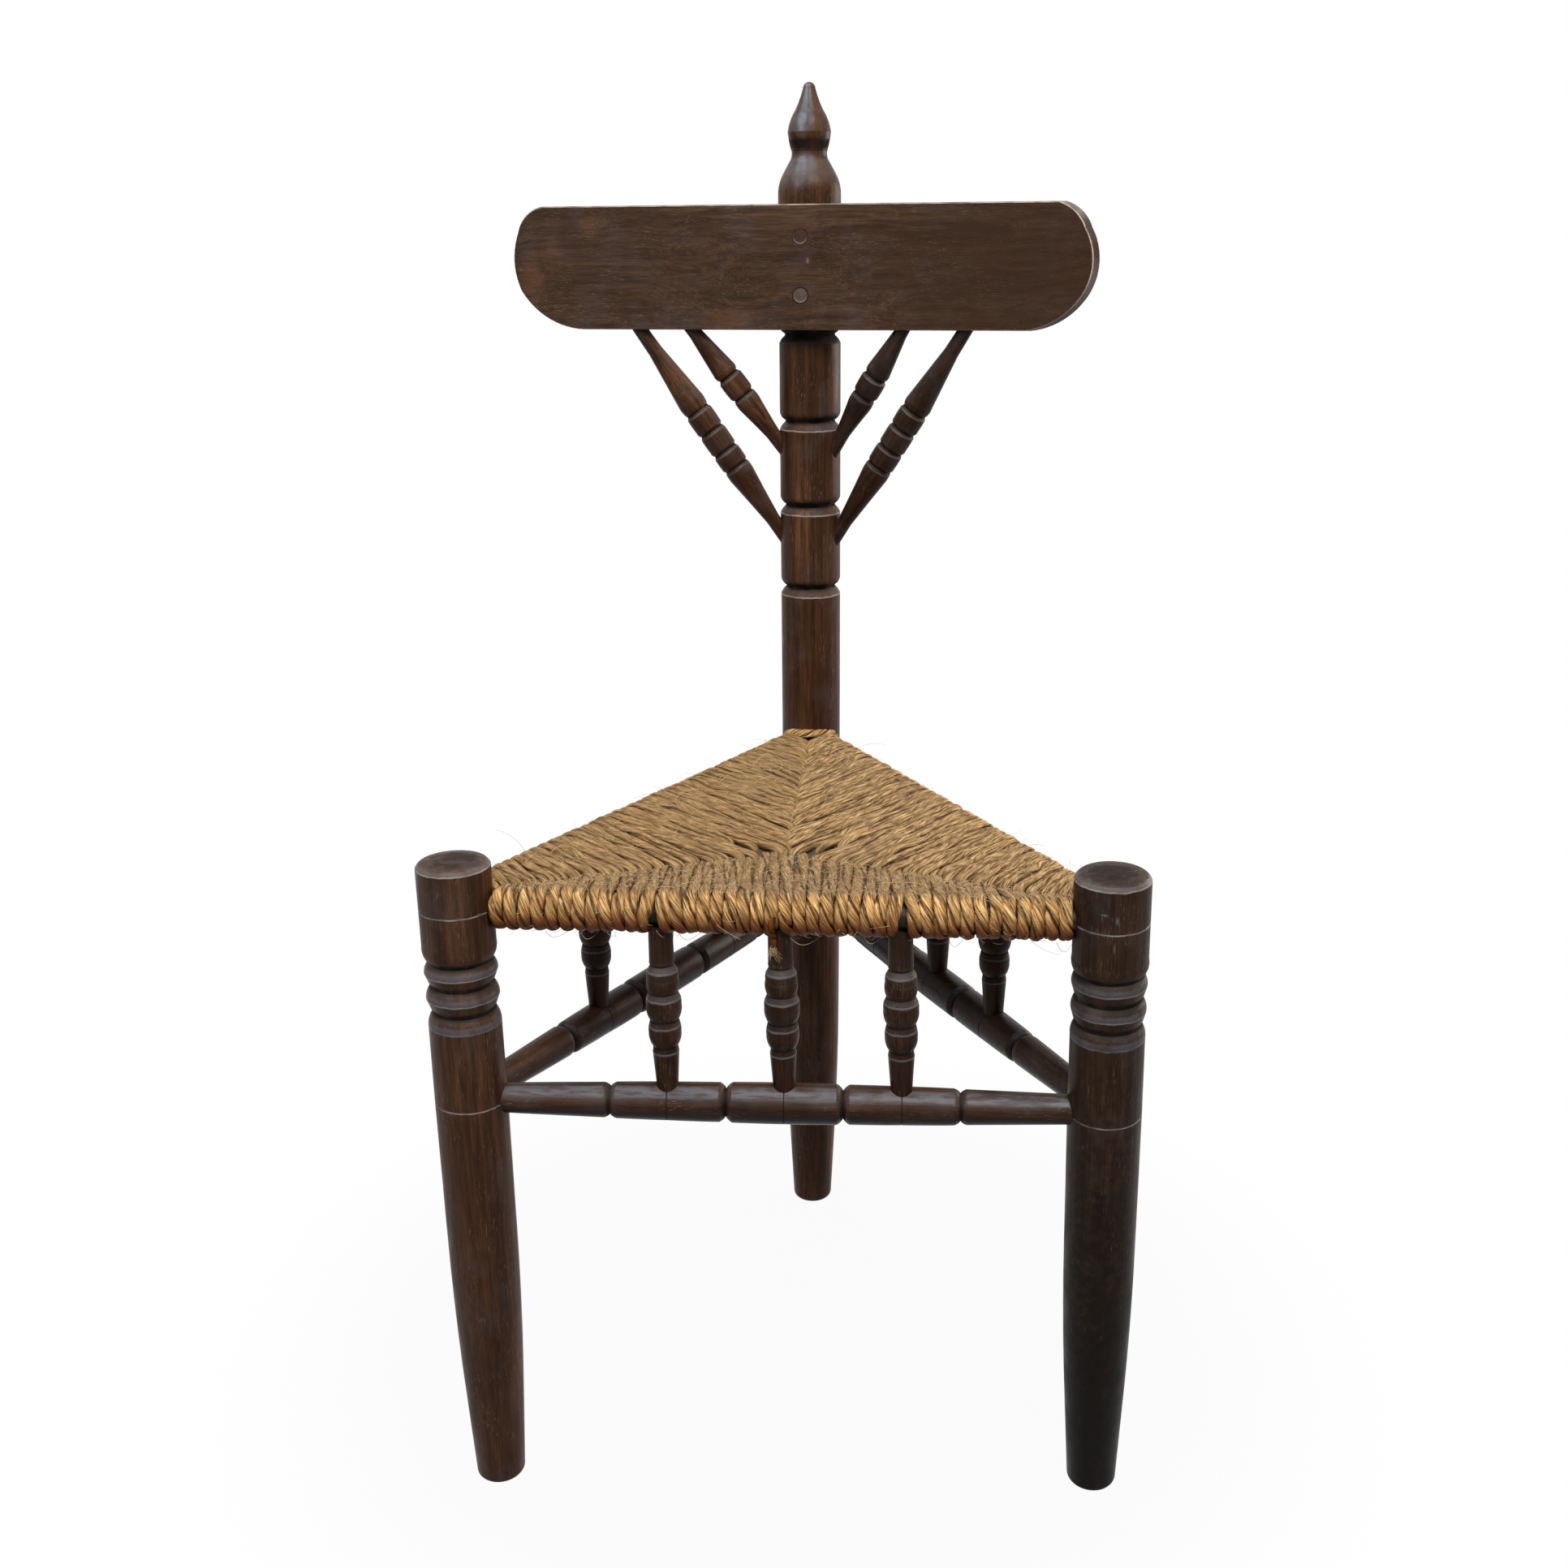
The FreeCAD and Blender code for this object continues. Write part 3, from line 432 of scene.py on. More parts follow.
# Stretchers, rails and the spindles between them, which stand at these places from the middle of a side
SPINDLE_AT = (-0.0813, 0, 0.0813)
BARREL_ENDS = (-0.122, -0.0408, 0.0408, 0.122)
SPINDLE_GROOVES = (0.305, 0.444, 0.586, 0.728)
RAIL_TONES = ((0.02, 0.012, 0.008), (0.045, 0.028, 0.017), (0.08, 0.05, 0.03))
for index, (side, legs) in enumerate(SIDES.items()):
    low = [joint(leg, STRETCHER_Z, STRETCHER_RISE) for leg in legs]
    top = [joint(leg, RAIL_Z, RAIL_RISE) for leg in legs]
    span = np.linalg.norm(low[1] - low[0])
    rail_span = np.linalg.norm(top[1] - top[0])
    # Painted shade at the barrels' ends and in thin rings where the spindles stand
    rings = [(span / 2 + x, 0.003, PAINTED_SHADE, 0.8) for x in BARREL_ENDS]
    rings += [(span / 2 + x, 0.0007, PAINTED_SHADE, 0.8) for x in SPINDLE_AT]
    dress("stretcher_" + side, wood("stretcher_wood_" + side, low[0], low[1], stain((0.92, 0.92, 1)),
                                    80.0 + index, rings, rough=0.26, dust_and_sheen=0.15, finish=painted_stretcher_light, gloss=0.09))
    dress("seat_rail_" + side, wood("rail_wood_" + side, top[0], top[1], RAIL_TONES, 90.0 + index))
    for number, offset in enumerate(SPINDLE_AT, start=1):
        name = "%s_%d" % (side, number)
        a = low[0] + (low[1] - low[0]) * (0.5 + offset / span)
        b = top[0] + (top[1] - top[0]) * (0.5 + offset / rail_span)
        reach = np.linalg.norm(b - a)
        # A painted sheen at each bead's edge below a groove, and painted shade in the grooves
        rings = [(share * reach - 0.0044, 0.0011, PAINTED_SHEEN, 0.85) for share in SPINDLE_GROOVES]
        rings += [(share * reach, 0.0016, PAINTED_SHADE, 0.95) for share in SPINDLE_GROOVES]
        tone = 0.6 + 0.05 * number if side == "front" else 0.64
        dress("spindle_" + name, wood("spindle_wood_" + name, a, b, stain([tone] * 3),
                                      100.0 + 7 * index + number, rings))


def steel_look():
    sh = Shader(bpy.data.materials.new("screw_steel"))
    grain = sh.noise(sh.place(), 900, 2)
    return sh.finish(Base_Color=sh.mix(grain, (0.3, 0.3, 0.31), (0.45, 0.44, 0.42)), Metallic=1.0,
                     Roughness=sh.span(grain, 0.3, 0.7, 0.3, 0.5))


steel = steel_look()
for name in ("screw_upper", "screw_lower"):
    dress(name, steel)

# Cord of two plies. A row of marks says, at each point of its path, the cord's own random number, its level,
# which is 0 under the seat and 1 or more on its top, and how flat it is pressed, from 0 to 1.
CORD_STEP, CORD_LAY, CORD_TAPER, CORD_END = 0.0019, 0.041, 0.005, 0.5
HALF_WIDE, HALF_HIGH, PRESSED = 0.005, 0.0032, 0.0001

# Angles round a cord's section, closest together at its two grooves, and how far each is from a groove
HALF_TURN = [0, 0.17, 0.4, 0.75, 1.2, 1.94, 2.39, 2.74, 2.97]
SECTION = np.array(HALF_TURN + [a + math.pi for a in HALF_TURN])
FROM_GROOVE = np.abs(np.mod(SECTION + math.pi / 2, math.pi) - math.pi / 2)


def unit_rows(v):
    return v / np.linalg.norm(v, axis=1)[:, None]


def resample(*tracks):
    """Even steps along the first track, with the other tracks read at the same places."""
    path = np.asarray(tracks[0])
    reach = np.concatenate([[0], np.cumsum(np.linalg.norm(np.diff(path, axis=0), axis=1))])
    places = np.linspace(0, reach[-1], max(4, int(round(reach[-1] / CORD_STEP)) + 1))
    return places, [np.stack([np.interp(places, reach, np.asarray(track)[:, k]) for k in range(3)], axis=1)
                    for track in tracks]


def noise_row(places, wave):
    """Smooth random values along a path, about one change per wave."""
    knots = np.arange(0, places[-1] + 2 * wave, wave)
    return np.interp(places, knots, rng.normal(0, 1, len(knots)))


class Strands:
    """Collects tubes into one mesh, with what the material needs to know of each."""

    def __init__(self):
        self.verts, self.faces, self.fibres, self.marks = [], [], [], []
        self.count = 0

    def add(self, verts, fibre, mark, hollow=1.0):
        """A tube from rows of points, one row for each ring; fibre is each point's place in the yarn.

        Hollow is how deep between plies or cords a point lies, where the material paints shade, and 1 on a
        loose fibre.
        """
        n, sides = verts.shape[:2]
        self.verts.append(verts.reshape(-1, 3))
        i, j = np.arange(n - 1)[:, None] * sides, np.arange(sides)[None, :]
        k = (j + 1) % sides
        quads = np.stack([i + j, i + k, i + sides + k, i + sides + j], axis=2)
        self.faces.append(quads.reshape(-1, 4) + self.count)
        self.fibres.append(fibre.reshape(-1, 3))
        mark = np.repeat(np.broadcast_to(np.asarray(mark, float), (n, 3)), sides, axis=0)
        mark[:, 2] = np.broadcast_to(hollow, (n, sides)).ravel()
        self.marks.append(mark)
        self.count += n * sides

    def build(self, name):
        verts, faces = np.concatenate(self.verts), np.concatenate(self.faces)
        mesh = bpy.data.meshes.new(name)
        mesh.vertices.add(len(verts))
        mesh.vertices.foreach_set("co", verts.ravel())
        mesh.loops.add(faces.size)
        mesh.loops.foreach_set("vertex_index", faces.ravel().astype(np.int32))
        mesh.polygons.add(len(faces))
        mesh.polygons.foreach_set("loop_start", np.arange(0, faces.size, 4, dtype=np.int32))
        mesh.polygons.foreach_set("loop_total", np.full(len(faces), 4, dtype=np.int32))
        mesh.update()
        mesh.polygons.foreach_set("use_smooth", np.ones(len(faces), dtype=bool))
        for label, rows in (("fibre", self.fibres), ("mark", self.marks)):
            data = mesh.attributes.new(label, "FLOAT_VECTOR", "POINT").data
            data.foreach_set("vector", np.concatenate(rows).ravel())
        return new_object(name, mesh)


strands = Strands()


def cord(points, outward, marks, lay=None, scale=1.0):
    """Two plies pressed together and twisted, along a path; outward points away from what it lies on."""
    places, (path, outward, marks) = resample(points, outward, marks)
    tangent = unit_rows(np.gradient(path, axis=0))
    side = unit_rows(np.cross(tangent, outward))
    up = np.cross(side, tangent)
    flat = marks[:, 2]
    lay = lay or CORD_LAY * (1 + rng.normal(0, 0.08))
    rate = 2 * math.pi / lay * (1 - 0.75 * flat)
    turn = rng.uniform(0, 2 * math.pi) + np.cumsum(rate) * places[1] + 0.4 * noise_row(places, 0.02)
    size = np.interp(places, [0, CORD_TAPER, places[-1] - CORD_TAPER, places[-1]],
                     [CORD_END, 1, 1, CORD_END]) * scale
    plies = [1 + 0.055 * noise_row(places, 0.011) for _ in (0, 1)]
    groove = ((0.55 - 0.2 * flat) * (1 + 0.2 * noise_row(places, 0.012)))[:, None]
    groove = groove * np.exp(-(FROM_GROOVE / 0.32) ** 2)[None, :]
    swell = np.where(SECTION[None, :] < math.pi, plies[0][:, None], plies[1][:, None])
    swell = 1 + (swell - 1) * np.sin(FROM_GROOVE)[None, :]
    reach = (1 - groove) * swell * size[:, None]
    angle = turn[:, None] + SECTION[None, :]
    wide, high = (HALF_WIDE + PRESSED * flat)[:, None], (HALF_HIGH - PRESSED * flat)[:, None]
    verts = (path[:, None, :] + side[:, None, :] * (np.cos(angle) * reach * wide)[..., None]
             + up[:, None, :] * (np.sin(angle) * reach * high)[..., None])
    lie = np.broadcast_to(SECTION[None, :], angle.shape)
    yarn = np.stack([np.cos(lie), np.sin(lie), np.broadcast_to(places[:, None], angle.shape)], axis=2)
    # How deep each point lies between plies and between cords, which the seat's material paints as shade
    between_plies = np.exp(-(FROM_GROOVE / 0.3) ** 2)[None, :] * (1 - 0.2 * flat[:, None])
    between_cords = np.abs(np.cos(angle)) ** 6 * (0.6 + 0.25 * flat[:, None])
    strands.add(verts, yarn, marks, 0.8 * np.maximum(between_plies, between_cords))


def fibre(line, radius, seed, level):
    """A loose fibre, thinner towards its end."""
    n = len(line)
    tangent = unit_rows(np.gradient(line, axis=0))
    side = unit_rows(np.cross(tangent, arr(0.31, 0.17, 0.94)))
    up = np.cross(side, tangent)
    taper = radius * np.linspace(1, 0.5, n)
    angle = np.radians([0, 120, 240])
    verts = line[:, None, :] + taper[:, None, None] * (side[:, None, :] * np.cos(angle)[None, :, None]
                                                       + up[:, None, :] * np.sin(angle)[None, :, None])
    strands.add(verts, np.zeros((n, 3, 3)) + seed, (seed, level, 1.0))


# The seat's plane, through the rails' axes
corners = [joint(leg, RAIL_Z, RAIL_RISE) for leg in ("left", "right", "post")]
normal = unit(np.cross(corners[1] - corners[0], corners[2] - corners[0]))
middle = sum(corners) / 3
PANEL_ENDS = {"front": (0, 1), "left": (2, 0), "right": (1, 2)}


def on_plane(x, y):
    fall = (normal[0] * (x - corners[0][0]) + normal[1] * (y - corners[0][1])) / normal[2]
    return arr(x, y, corners[0][2] - fall)


def panel(side):
    """The start of a panel's rail, the directions along it and inwards from it, and its length."""
    start, end = (corners[k] for k in PANEL_ENDS[side])
    along = unit(end - start)
    return start, along, np.cross(normal, along), np.linalg.norm(end - start)


def crossing(base, heading, a, b):
    """How far from base along heading the line from a to b is met, and how far along that line."""
    u, v = heading, b - a
    w = a - base
    den = np.dot(np.cross(u, v), normal)
    return np.dot(np.cross(w, v), normal) / den, np.dot(np.cross(w, u), normal) / den


def mitre_ahead(base, heading, centre, feet):
    """How far ahead the nearest mitre from centre to one of feet is, and how far each of them is."""
    hits = [crossing(base, heading, centre, foot) for foot in feet]
    return min(t for t, share in hits if t > 0 and -0.2 < share < 1.3), [t for t, share in hits]


# The upper mitres meet nearer to the front rail than the middle of the triangle, where the lower ones meet
apex = on_plane(-0.0009, -0.103)
mitre_feet = [on_plane(-0.214, -0.1885), on_plane(0.214, -0.1885), on_plane(0, 0.192)]

# ROLL is the radius at which a cord's middle goes round the rail, and LEG that of a front leg
WRAPS, ROLL, LEG, LEG_ROOM = 42, 0.0121, 0.0254, 0.0005

# Slits where cords part for a spindle: half widths in mm at angles round the roll, -90 being straight down
SLIT_ANGLES = [-95, -70, -31, 13, 43, 72, 90]
SLITS = {"wide": [4.0, 3.7, 3.2, 2.5, 1.5, 0.6, 0], "closed": [7.5, 3.5, 0.6, 0, 0, 0, 0]}
SLIT_REACH = 0.024

# How many degrees cords lean, at distances from the front leg, which is the left one on the front panel
LEANS = {"front": ([0.03, 0.1, 0.34, 0.41], [6, 0, 0, -6]),
         "left": ([0.025, 0.059, 0.108, 0.17, 0.271, 0.35, 0.42], [29, 27, 19, 15.5, 17, 20, 24]),
         "right": ([0.025, 0.06, 0.135, 0.19, 0.276, 0.35, 0.42], [28, 24, 17, 15.5, 15, 18, 23])}

# At a mitre: how far a cord reaches past it, how deep its end dips, and over what length
MITRES = {"post": (0.003, 0.0024, 0.0022), "side": (0.0042, 0.0055, 0.0024),
          "front": (0.0085, 0.002, 0.0026)}
# Each panel's range of cord numbers, which also make a cord browner: the left panel's are high, so it is
# painted in shade
SEEDS_WITH_SIDE_SHADE = {"front": (0.0, 1.0), "left": (0.75, 1.0), "right": (0.0, 0.5)}


def wrap(side_name, s, start, along, inward, length):
    """A cord at s along a rail: from the lower mitre round the roll and over the panel to the upper one."""
    base = start + along * s
    turned = {"front": 0, "left": 1, "right": -1}[side_name]
    if turned:
        from_leg = length - s if turned > 0 else s
        lean = math.radians(np.interp(from_leg, *LEANS[side_name]) + rng.normal(0, 0.35)
                            + 1.2 * math.sin(from_leg * 61)) * turned
    else:
        lean = math.radians(rng.normal(0, 0.45) + 2.5 * math.sin(s * 50) + np.interp(s, *LEANS["front"]))
    heading = inward * math.cos(lean) + along * math.sin(lean)
    tip, tips = mitre_ahead(base, heading, apex, mitre_feet)
    lower_tip = mitre_ahead(base, inward, middle, corners)[0]
    meets = "front" if not turned else "post" if abs(tips[2] - tip) < 1e-9 else "side"
    from_apex = np.linalg.norm(base + heading * tip - apex)
    past, dip, dip_length = MITRES[meets]
    tip += past
    if meets == "side":
        tip += 0.0048 * math.exp(-(from_apex / 0.024) ** 2)
    tip = max(tip + rng.normal(0, 0.0009), 0.008)
    seed, lift, sway = rng.uniform(*SEEDS_WITH_SIDE_SHADE[side_name]), rng.normal(0, 0.0002), rng.normal(0, 0.0006)
    points, outward, marks = [], [], []

    def add(shift, t, h, out, level, flat, direction=inward):
        points.append(base + along * shift + direction * t + normal * h)
        outward.append(out)
        marks.append((seed, level, flat))

    for t in np.linspace(max(lower_tip, 0.007), 0.004, max(4, int(lower_tip / 0.006))):
        sink = 0.004 * math.exp(-(lower_tip - t) / 0.003)
        add(0, t, -0.0118 + sink, -normal, 0.0, 0.5)
    for angle in np.linspace(-84, 86, 27):
        part = 0.0
        for offset, kind in zip(SPINDLE_AT, ("wide", "closed", "wide")):
            gap = s - (length / 2 + offset)
            width = np.interp(angle, SLIT_ANGLES, SLITS[kind]) / 1000
            part += math.copysign(width * math.exp(-(gap / SLIT_REACH) ** 2), gap)
        rad = math.radians(angle)
        radius = ROLL + lift
        out = -inward * math.cos(rad) + normal * math.sin(rad)
        reach_back = max(0.0, (angle - 20) / 66) ** 2 * 0.006
        add(part + sway * math.sin(rad * 2) + reach_back * math.tan(lean), -radius * math.cos(rad),
            radius * math.sin(rad), out, 0.5 + 0.5 * math.sin(rad), max(0.0, (angle - 60) / 26))
    crown, drop, level = (0.0007, 0.0, 1.0) if turned else (0.0, 0.0027, 1.3)
    for t in np.linspace(0.004, tip, max(4, int(tip / 0.004))):
        rise = crown - drop * min(1, t / 0.02) - 0.0018 * min(1, t / 0.11)
        near_end = math.exp(-((tip - t) / dip_length) ** 1.3)
        shift = 0.006 * math.tan(lean) + 0.0005 * math.sin(t * 60 + seed * 9)
        add(shift, t, ROLL + lift + rise - dip * near_end, unit(normal + heading * 1.4 * near_end), level,
            1.0, heading)
    cord(points, outward, marks)


for side_name in PANEL_ENDS:
    start, along, inward, length = panel(side_name)
    spacing = (length - 2 * LEG - 2 * LEG_ROOM) / WRAPS
    for index in range(WRAPS):
        s = LEG + LEG_ROOM + spacing * (index + 0.5) + rng.normal(0, 0.00013)
        wrap(side_name, s, start, along, inward, length)

# Cord across the front of the rear post, and one turn inside each front leg: centre, direction, radius,
# degrees to each side, height, scale and level
turns = [(corners[2], arr(0, -1, 0), 0.0278, 62, 0.0150, 0.9, 0.8)]
turns += [(c, unit(middle - c), 0.0285, 30, 0.0118, 0.8, 0.9) for c in corners[:2]]
for centre, facing, radius, spread, height, scale, level in turns:
    across = np.cross(normal, facing)
    points, outward = [], []
    for angle in np.linspace(-spread, spread, 30):
        rad = math.radians(angle)
        out = facing * math.cos(rad) + across * math.sin(rad)
        fall = 0.007 * (abs(angle) / spread) ** 3
        points.append(centre + out * (radius - 0.0012 * (angle / spread) ** 2) + normal * (height - fall))
        outward.append(unit(out + normal * 0.8))
    cord(points, outward, [(0.4, level, 0)] * 30, lay=0.024, scale=scale * 0.88)

# Loose fibres, the first half of them on the worn front panel; a SKIN is how high they lie
FIBRES, ROLL_SKIN, FRONT_SKIN, SIDE_SKIN = 1500, 0.0151, 0.0125, 0.0152
q = np.linspace(0, 1, 8)[:, None]
for number in range(FIBRES):
    worn = number < FIBRES // 2
    side_name = "front" if worn else ("front", "left", "right")[int(rng.integers(3))]
    start, along, inward, length = panel(side_name)
    s = rng.uniform(0.035, length - 0.035)
    deep = max(0.0, min(s, length - s) * (0.4 if side_name == "front" else 0.6) - 0.008)
    t = rng.uniform(0.0 if worn else -0.014, deep)
    if t < 0.001:
        rad = math.radians(rng.uniform(-80, 88))
        out = -inward * math.cos(rad) + normal * math.sin(rad)
        base = start + along * s + out * ROLL_SKIN
        level = 0.5 + 0.5 * math.sin(rad)
    else:
        out = normal
        base = start + along * s + inward * t + normal * (FRONT_SKIN if side_name == "front" else SIDE_SKIN)
        level = 1.5
    heading = unit(along * rng.normal() + inward * rng.normal() + out * 0.1)
    reach = rng.uniform(0.003, 0.010) if worn or rng.random() < 0.75 else rng.uniform(0.01, 0.028)
    bend = unit(np.cross(heading, out)) * rng.normal(0, 0.35) * reach
    rise = rng.uniform(0.0002, 0.0016) + 0.05 * reach
    fibre(base + heading * reach * q + bend * q * q + out * (4 * q * (1 - q) * rise - 0.0003),
          rng.uniform(0.00009, 0.00017), rng.random(), level)

# Fibres that hang in small loops under the front roll: place from its middle, width and depth
front_start, front_along, front_in, _ = panel("front")
q = np.linspace(0, 1, 14)[:, None]
for x, wide, deep in ((-0.150, 0.016, 0.003), (-0.128, 0.012, 0.004), (0.018, 0.022, 0.005),
                      (0.118, 0.01, 0.004), (0.19, 0.012, 0.006), (-0.06, 0.014, 0.003),
                      (0.063, 0.012, 0.003)):
    low = front_start + front_along * (0.22 + x) - front_in * 0.006 - normal * 0.0145
    fibre(low + front_along * wide * (q - 0.5) - normal * 4 * q * (1 - q) * deep
          - front_in * 0.003 * np.sin(q * 5), 0.00022, rng.random(), 0.9)

# Long pale hairs that lie in arcs on the side panels: centre, radius, first angle and sweep
for x, y, radius, first, sweep in ((-0.052, 0.052, 0.02, 20, 150), (-0.035, 0.03, 0.027, 60, 110),
                                   (-0.075, -0.01, 0.018, 100, 130), (-0.03, 0.075, 0.013, -40, 160),
                                   (-0.1, -0.045, 0.016, 30, 100), (0.045, 0.03, 0.015, 80, 90)):
    arc = [on_plane(x + radius * math.cos(a), y + radius * 1.3 * math.sin(a))
           + normal * (0.0163 + 0.0007 * math.sin(3 * a))
           for a in np.radians(np.linspace(first, first + sweep, 12))]
    fibre(np.array(arc), 0.00024, rng.random(), 1.0)

# The frayed end at the front's middle spindle: a thin stub down the roll, and the fibres at its tip
knot = front_start + front_along * 0.2165
stub, outward = [], []
for angle in np.linspace(12, -62, 12):
    rad = math.radians(angle)
    out = -front_in * math.cos(rad) + normal * math.sin(rad)
    stub.append(knot + out * 0.0158 + front_along * 0.0025 * math.sin(angle * 0.05))
    outward.append(out)
stub += [stub[-1] - normal * 0.004 * k - front_in * 0.0004 * k for k in (1, 2)]
outward += [outward[-1]] * 2
cord(stub, outward, [(0.2, 0.25, 0)] * len(stub), lay=0.02, scale=0.55)
q = np.linspace(0, 1, 8)[:, None]
for _ in range(46):
    base = stub[-1] + rng.normal(0, 0.0012, 3)
    aim = unit(arr(rng.normal(0, 0.5), rng.normal(-0.1, 0.35), -1.0))
    reach = rng.uniform(0.003, 0.009)
    bend = arr(rng.normal(0, 0.3), rng.normal(0, 0.2), 0) * reach
    fibre(base + aim * reach * q + bend * q * q, 0.00015, rng.random(), 0.35)


def cord_look():
    """Matte straw on the panels, gold on the roll as a painted light, and brown underneath as a painted warm
    shade.
    """
    sh = Shader(bpy.data.materials.new("seat_cord"))
    yarn_x, yarn_y, lengthways = sh.split(sh.node("Attribute", attribute_name="fibre").outputs["Vector"])
    seed, level, hollow = sh.split(sh.node("Attribute", attribute_name="mark").outputs["Vector"])

    def strand_noise(around, along, shift):
        own = sh.math("ADD", sh.times(seed, 57.0), shift)
        return sh.noise(sh.join(sh.times(yarn_x, around), sh.times(yarn_y, around),
                                sh.math("MULTIPLY_ADD", lengthways, along, own)), 1, 2, 0.6)

    hair, bundle = strand_noise(5.5, 110, 0), strand_noise(3.4, 75, 5)
    cloud, speck, cloud_fine = (sh.noise(sh.place(), *sort) for sort in ((24, 3), (420, 2), (130, 2)))
    # Matte straw on top, and gold where the roll's front is painted as lit
    matte = sh.mix(sh.span(hair, 0.34, 0.66), (0.08, 0.038, 0.013), (0.422, 0.258, 0.108))
    lit_gold = sh.mix(sh.span(hair, 0.34, 0.66), (0.135, 0.052, 0.012), (0.7, 0.39, 0.13))
    colour = sh.mix(sh.span(level, 0.998, 0.95), matte, lit_gold)

    # Bundles of fibre, plainest on the roll, then browner cords by their numbers, which paints the left panel
    # in shade, and a painted warm shade under the seat
    on_roll = sh.span(level, 1.02, 0.96, 0.4, 1.0)
    colour = sh.mix(sh.times(sh.span(bundle, 0.53, 0.66, 0, 0.8), on_roll), colour, (0.78, 0.54, 0.25))
    colour = sh.mix(sh.times(sh.span(bundle, 0.48, 0.34, 0, 0.75), on_roll), colour, (0.08, 0.034, 0.01))
    colour = sh.mix(sh.span(seed, 0.2, 1.0, 0.0, 0.4), colour, (0.2, 0.105, 0.034))
    colour = sh.mix(sh.span(level, 0.8, 0.2, 0, 0.94), colour, (0.155, 0.034, 0.003))

    # Grey wear on the front panel, then dirt on all three
    grey = sh.times(sh.span(level, 1.1, 1.25, 0, 0.55), sh.span(speck, 0.3, 0.6))
    colour = sh.mix(grey, colour, (0.16, 0.1, 0.048))
    dirt = sh.times(sh.span(cloud, 0.42, 0.7), sh.span(level, 0.85, 1.0))
    colour = sh.mix(sh.times(dirt, 0.3), colour, (0.2, 0.13, 0.065))

    # Painted shade between plies and cords, and pale on loose fibres, where hollow is 1
    deep = sh.times(sh.span(hollow, 0.12, 0.62, 0, 0.88), sh.math("LESS_THAN", hollow, 0.9))
    deep = sh.times(deep, sh.span(cloud_fine, 0.35, 0.6, 0.55, 1.0))
    colour = sh.mix(deep, colour, (0.035, 0.013, 0.004))
    colour = sh.mix(sh.span(hollow, 0.9, 1.0, 0, 0.7), colour, (0.66, 0.48, 0.27))
    height = sh.math("ADD", hair, sh.times(bundle, 0.8))
    return sh.finish(Base_Color=colour, Roughness=sh.span(level, 0.9, 1.0, 0.42, 0.75),
                     Normal=sh.bump(height, 1.0, 0.0014), Specular_IOR_Level=0.15)


def shaded_packing_look():
    sh = Shader(bpy.data.materials.new("stuffing"))
    straw = sh.noise(sh.place(), 300, 4)
    return sh.finish(Base_Color=sh.mix(straw, (0.02, 0.012, 0.006), (0.075, 0.042, 0.018)), Roughness=0.9,
                     Normal=sh.bump(straw, 0.6, 0.002))


seat = strands.build("woven_cord_seat")
seat.data.materials.append(cord_look())

# Packing between the two layers of cord, dark as painted shade
PACKING_INSET, PACKING_HEIGHTS = 0.028, (-0.0085, 0.0088)
packing_mesh = bpy.data.meshes.new("packing")
packing_mesh.from_pydata([tuple(c + unit(middle - c) * PACKING_INSET + normal * h)
                          for h in PACKING_HEIGHTS for c in corners], [],
                         [(2, 1, 0), (3, 4, 5), (0, 1, 4, 3), (1, 2, 5, 4), (2, 0, 3, 5)])
packing = new_object("packing", packing_mesh)
bevel = packing.modifiers.new("round", "BEVEL")
bevel.width, bevel.segments = 0.003, 3
packing.data.materials.append(shaded_packing_look())
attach(seat, "root")
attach(packing, "root")
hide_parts("woven_seat")
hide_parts("stuffing_front", "stuffing_left", "stuffing_right")


def seen(sh):
    """1 for what the camera sees, also in gloss or through glass, and 0 for what lights the chair."""
    ray = sh.node("LightPath").outputs
    return sh.math("MAXIMUM", sh.math("MAXIMUM", ray["Is Camera Ray"], ray["Is Glossy Ray"]),
                   ray["Is Transmission Ray"])


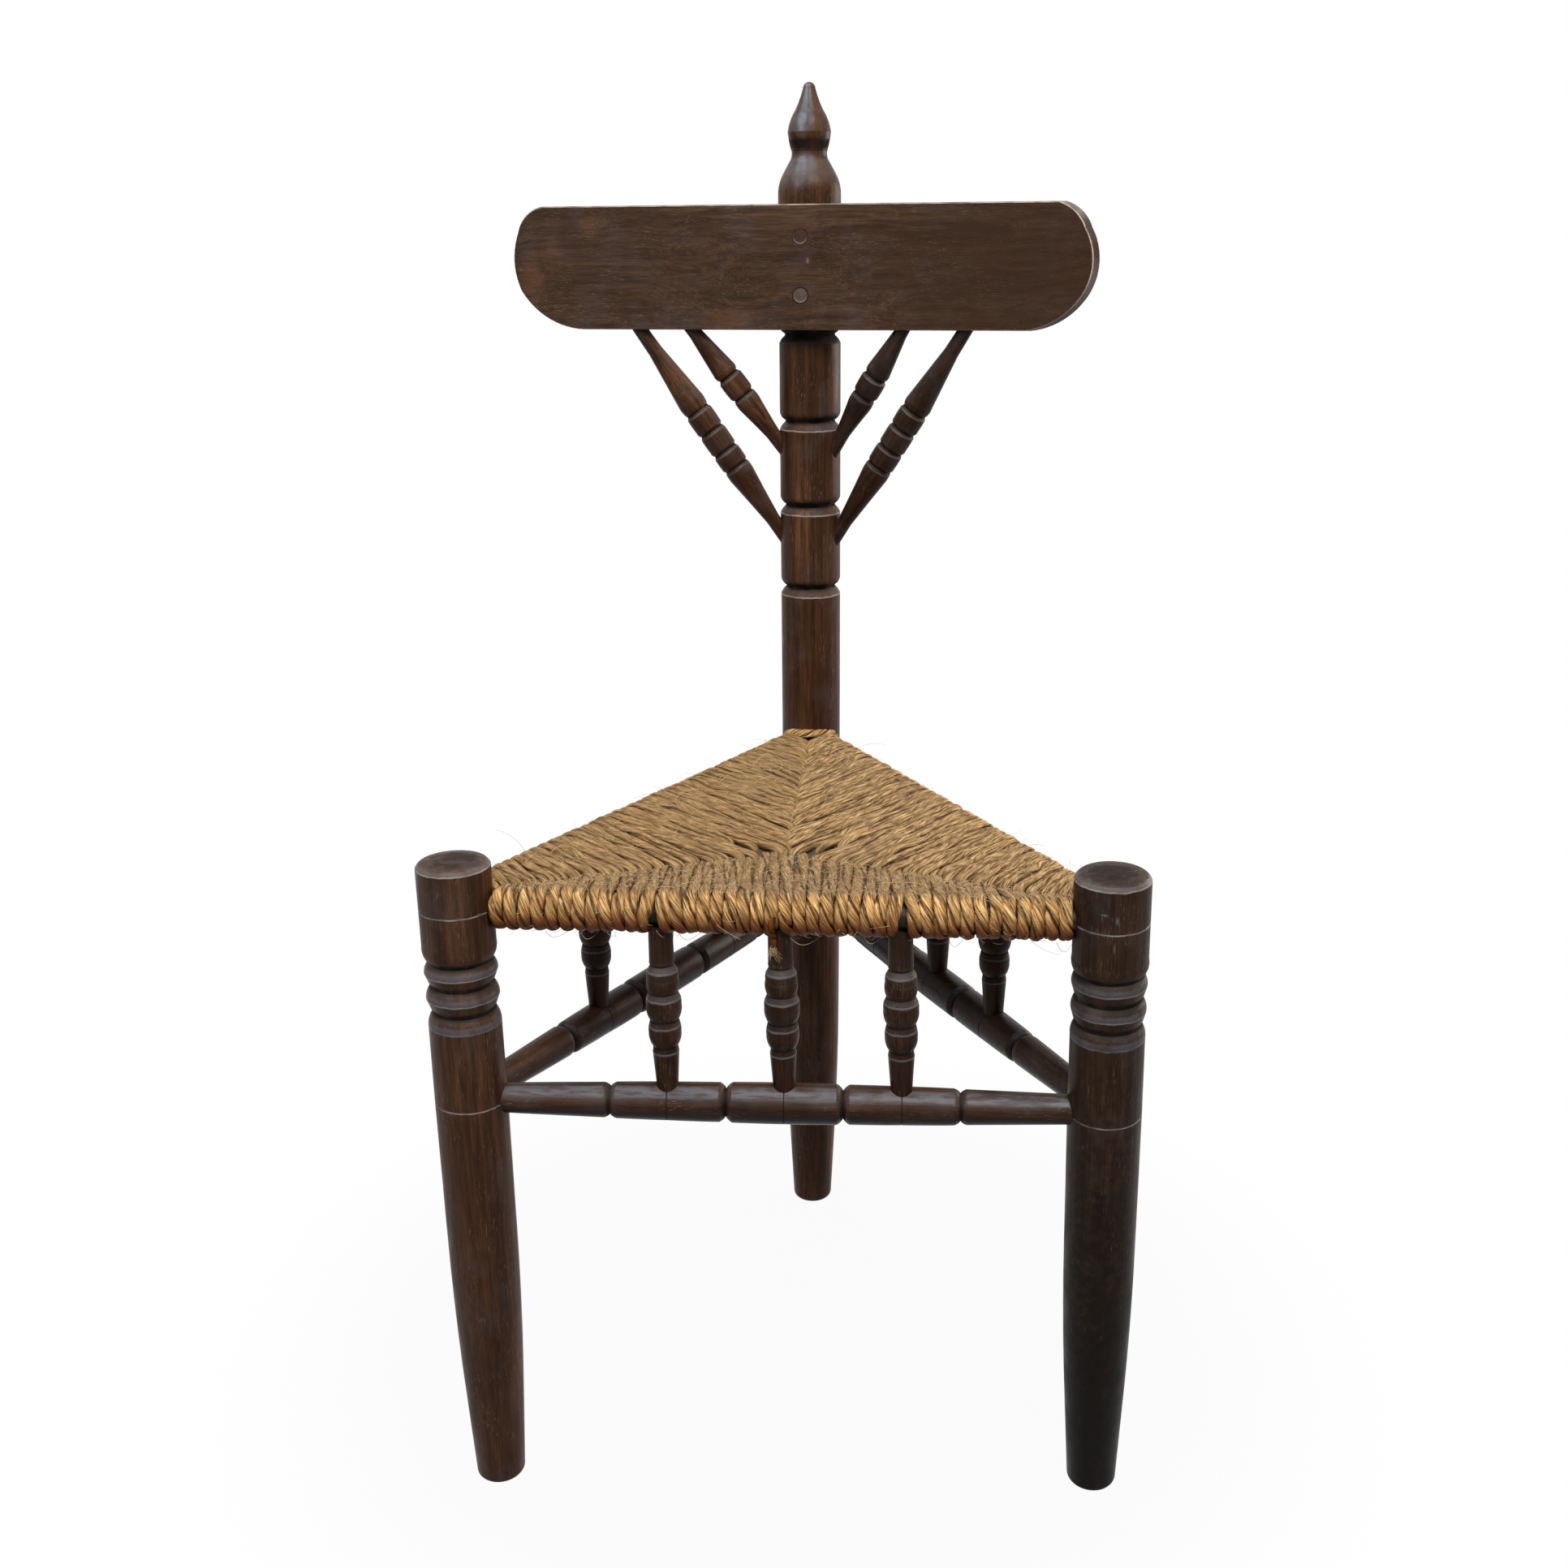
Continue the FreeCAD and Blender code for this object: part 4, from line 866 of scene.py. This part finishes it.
# Floor, white to the camera, which keeps a little of the chair's shadow near it
FLOOR_HALF, FLOOR_Z = 30, -0.0006
floor_mesh = bpy.data.meshes.new("floor")
floor_mesh.from_pydata([(x * FLOOR_HALF, y * FLOOR_HALF, 0) for x, y in ((-1, -1), (1, -1), (1, 1), (-1, 1))],
                       [], [(0, 1, 2, 3)])
floor = new_object("floor", floor_mesh)
floor.location.z = FLOOR_Z
sh = Shader(bpy.data.materials.new("floor"))
white = sh.times(seen(sh), sh.span(sh.vector("LENGTH", sh.place()), 0.25, 0.55, 0.95, 1.0))
plain = sh.node("BsdfDiffuse", {"Color": (0.18, 0.18, 0.18)}).outputs[0]
glow = sh.node("Emission", {"Color": (1, 1, 1), "Strength": 1.0}).outputs[0]
sh.set(sh.output.inputs[0], sh.node("MixShader", {0: white, 1: plain, 2: glow}).outputs[0])
floor.data.materials.append(sh.owner)

# World: white to the camera, and as light a soft pale sky over darker ground
GROUND, SKY = (0.08, 0.08, 0.08, 1), (0.62, 0.65, 0.7, 1)
world = bpy.data.worlds.new("world")
scene.world = world
sh = Shader(world, "OutputWorld")
sky = sh.node("ValToRGB", {0: sh.split(sh.node("TexCoord").outputs["Generated"])[2]})
for stop, position, colour in zip(sky.color_ramp.elements, (0.0, 0.9), (GROUND, SKY)):
    stop.position, stop.color = position, colour
backdrop = sh.mix(seen(sh), sky.outputs[0], (1, 1, 1))
sh.set(sh.output.inputs[0], sh.node("Background", {0: backdrop}).outputs[0])


def lamp(name, place, aim_z, size, power, colour):
    """A round lamp that shines at the chair's middle at height aim_z."""
    light = bpy.data.lights.new(name, "AREA")
    light.shape, light.size, light.energy, light.color = "DISK", size, power, colour
    item = new_object(name, light)
    item.location = place
    item.rotation_euler = (Vector((0, 0, aim_z)) - Vector(place)).to_track_quat("-Z", "Y").to_euler()


lamp("key", (0.7, -1.5, 2.5), 0.45, 0.8, 51, (1.0, 0.95, 0.89))
lamp("side", (-1.5, -1.7, 2.0), 0.45, 0.7, 23, (0.9, 0.95, 1.0))
lamp("top", (-0.2, -0.3, 2.8), 0.4, 1.1, 34, (0.88, 0.94, 1.0))
lamp("back", (1.8, 1.2, 0.9), 0.5, 1.2, 32, (1.0, 0.86, 0.72))
scene.view_settings.view_transform = "Standard"
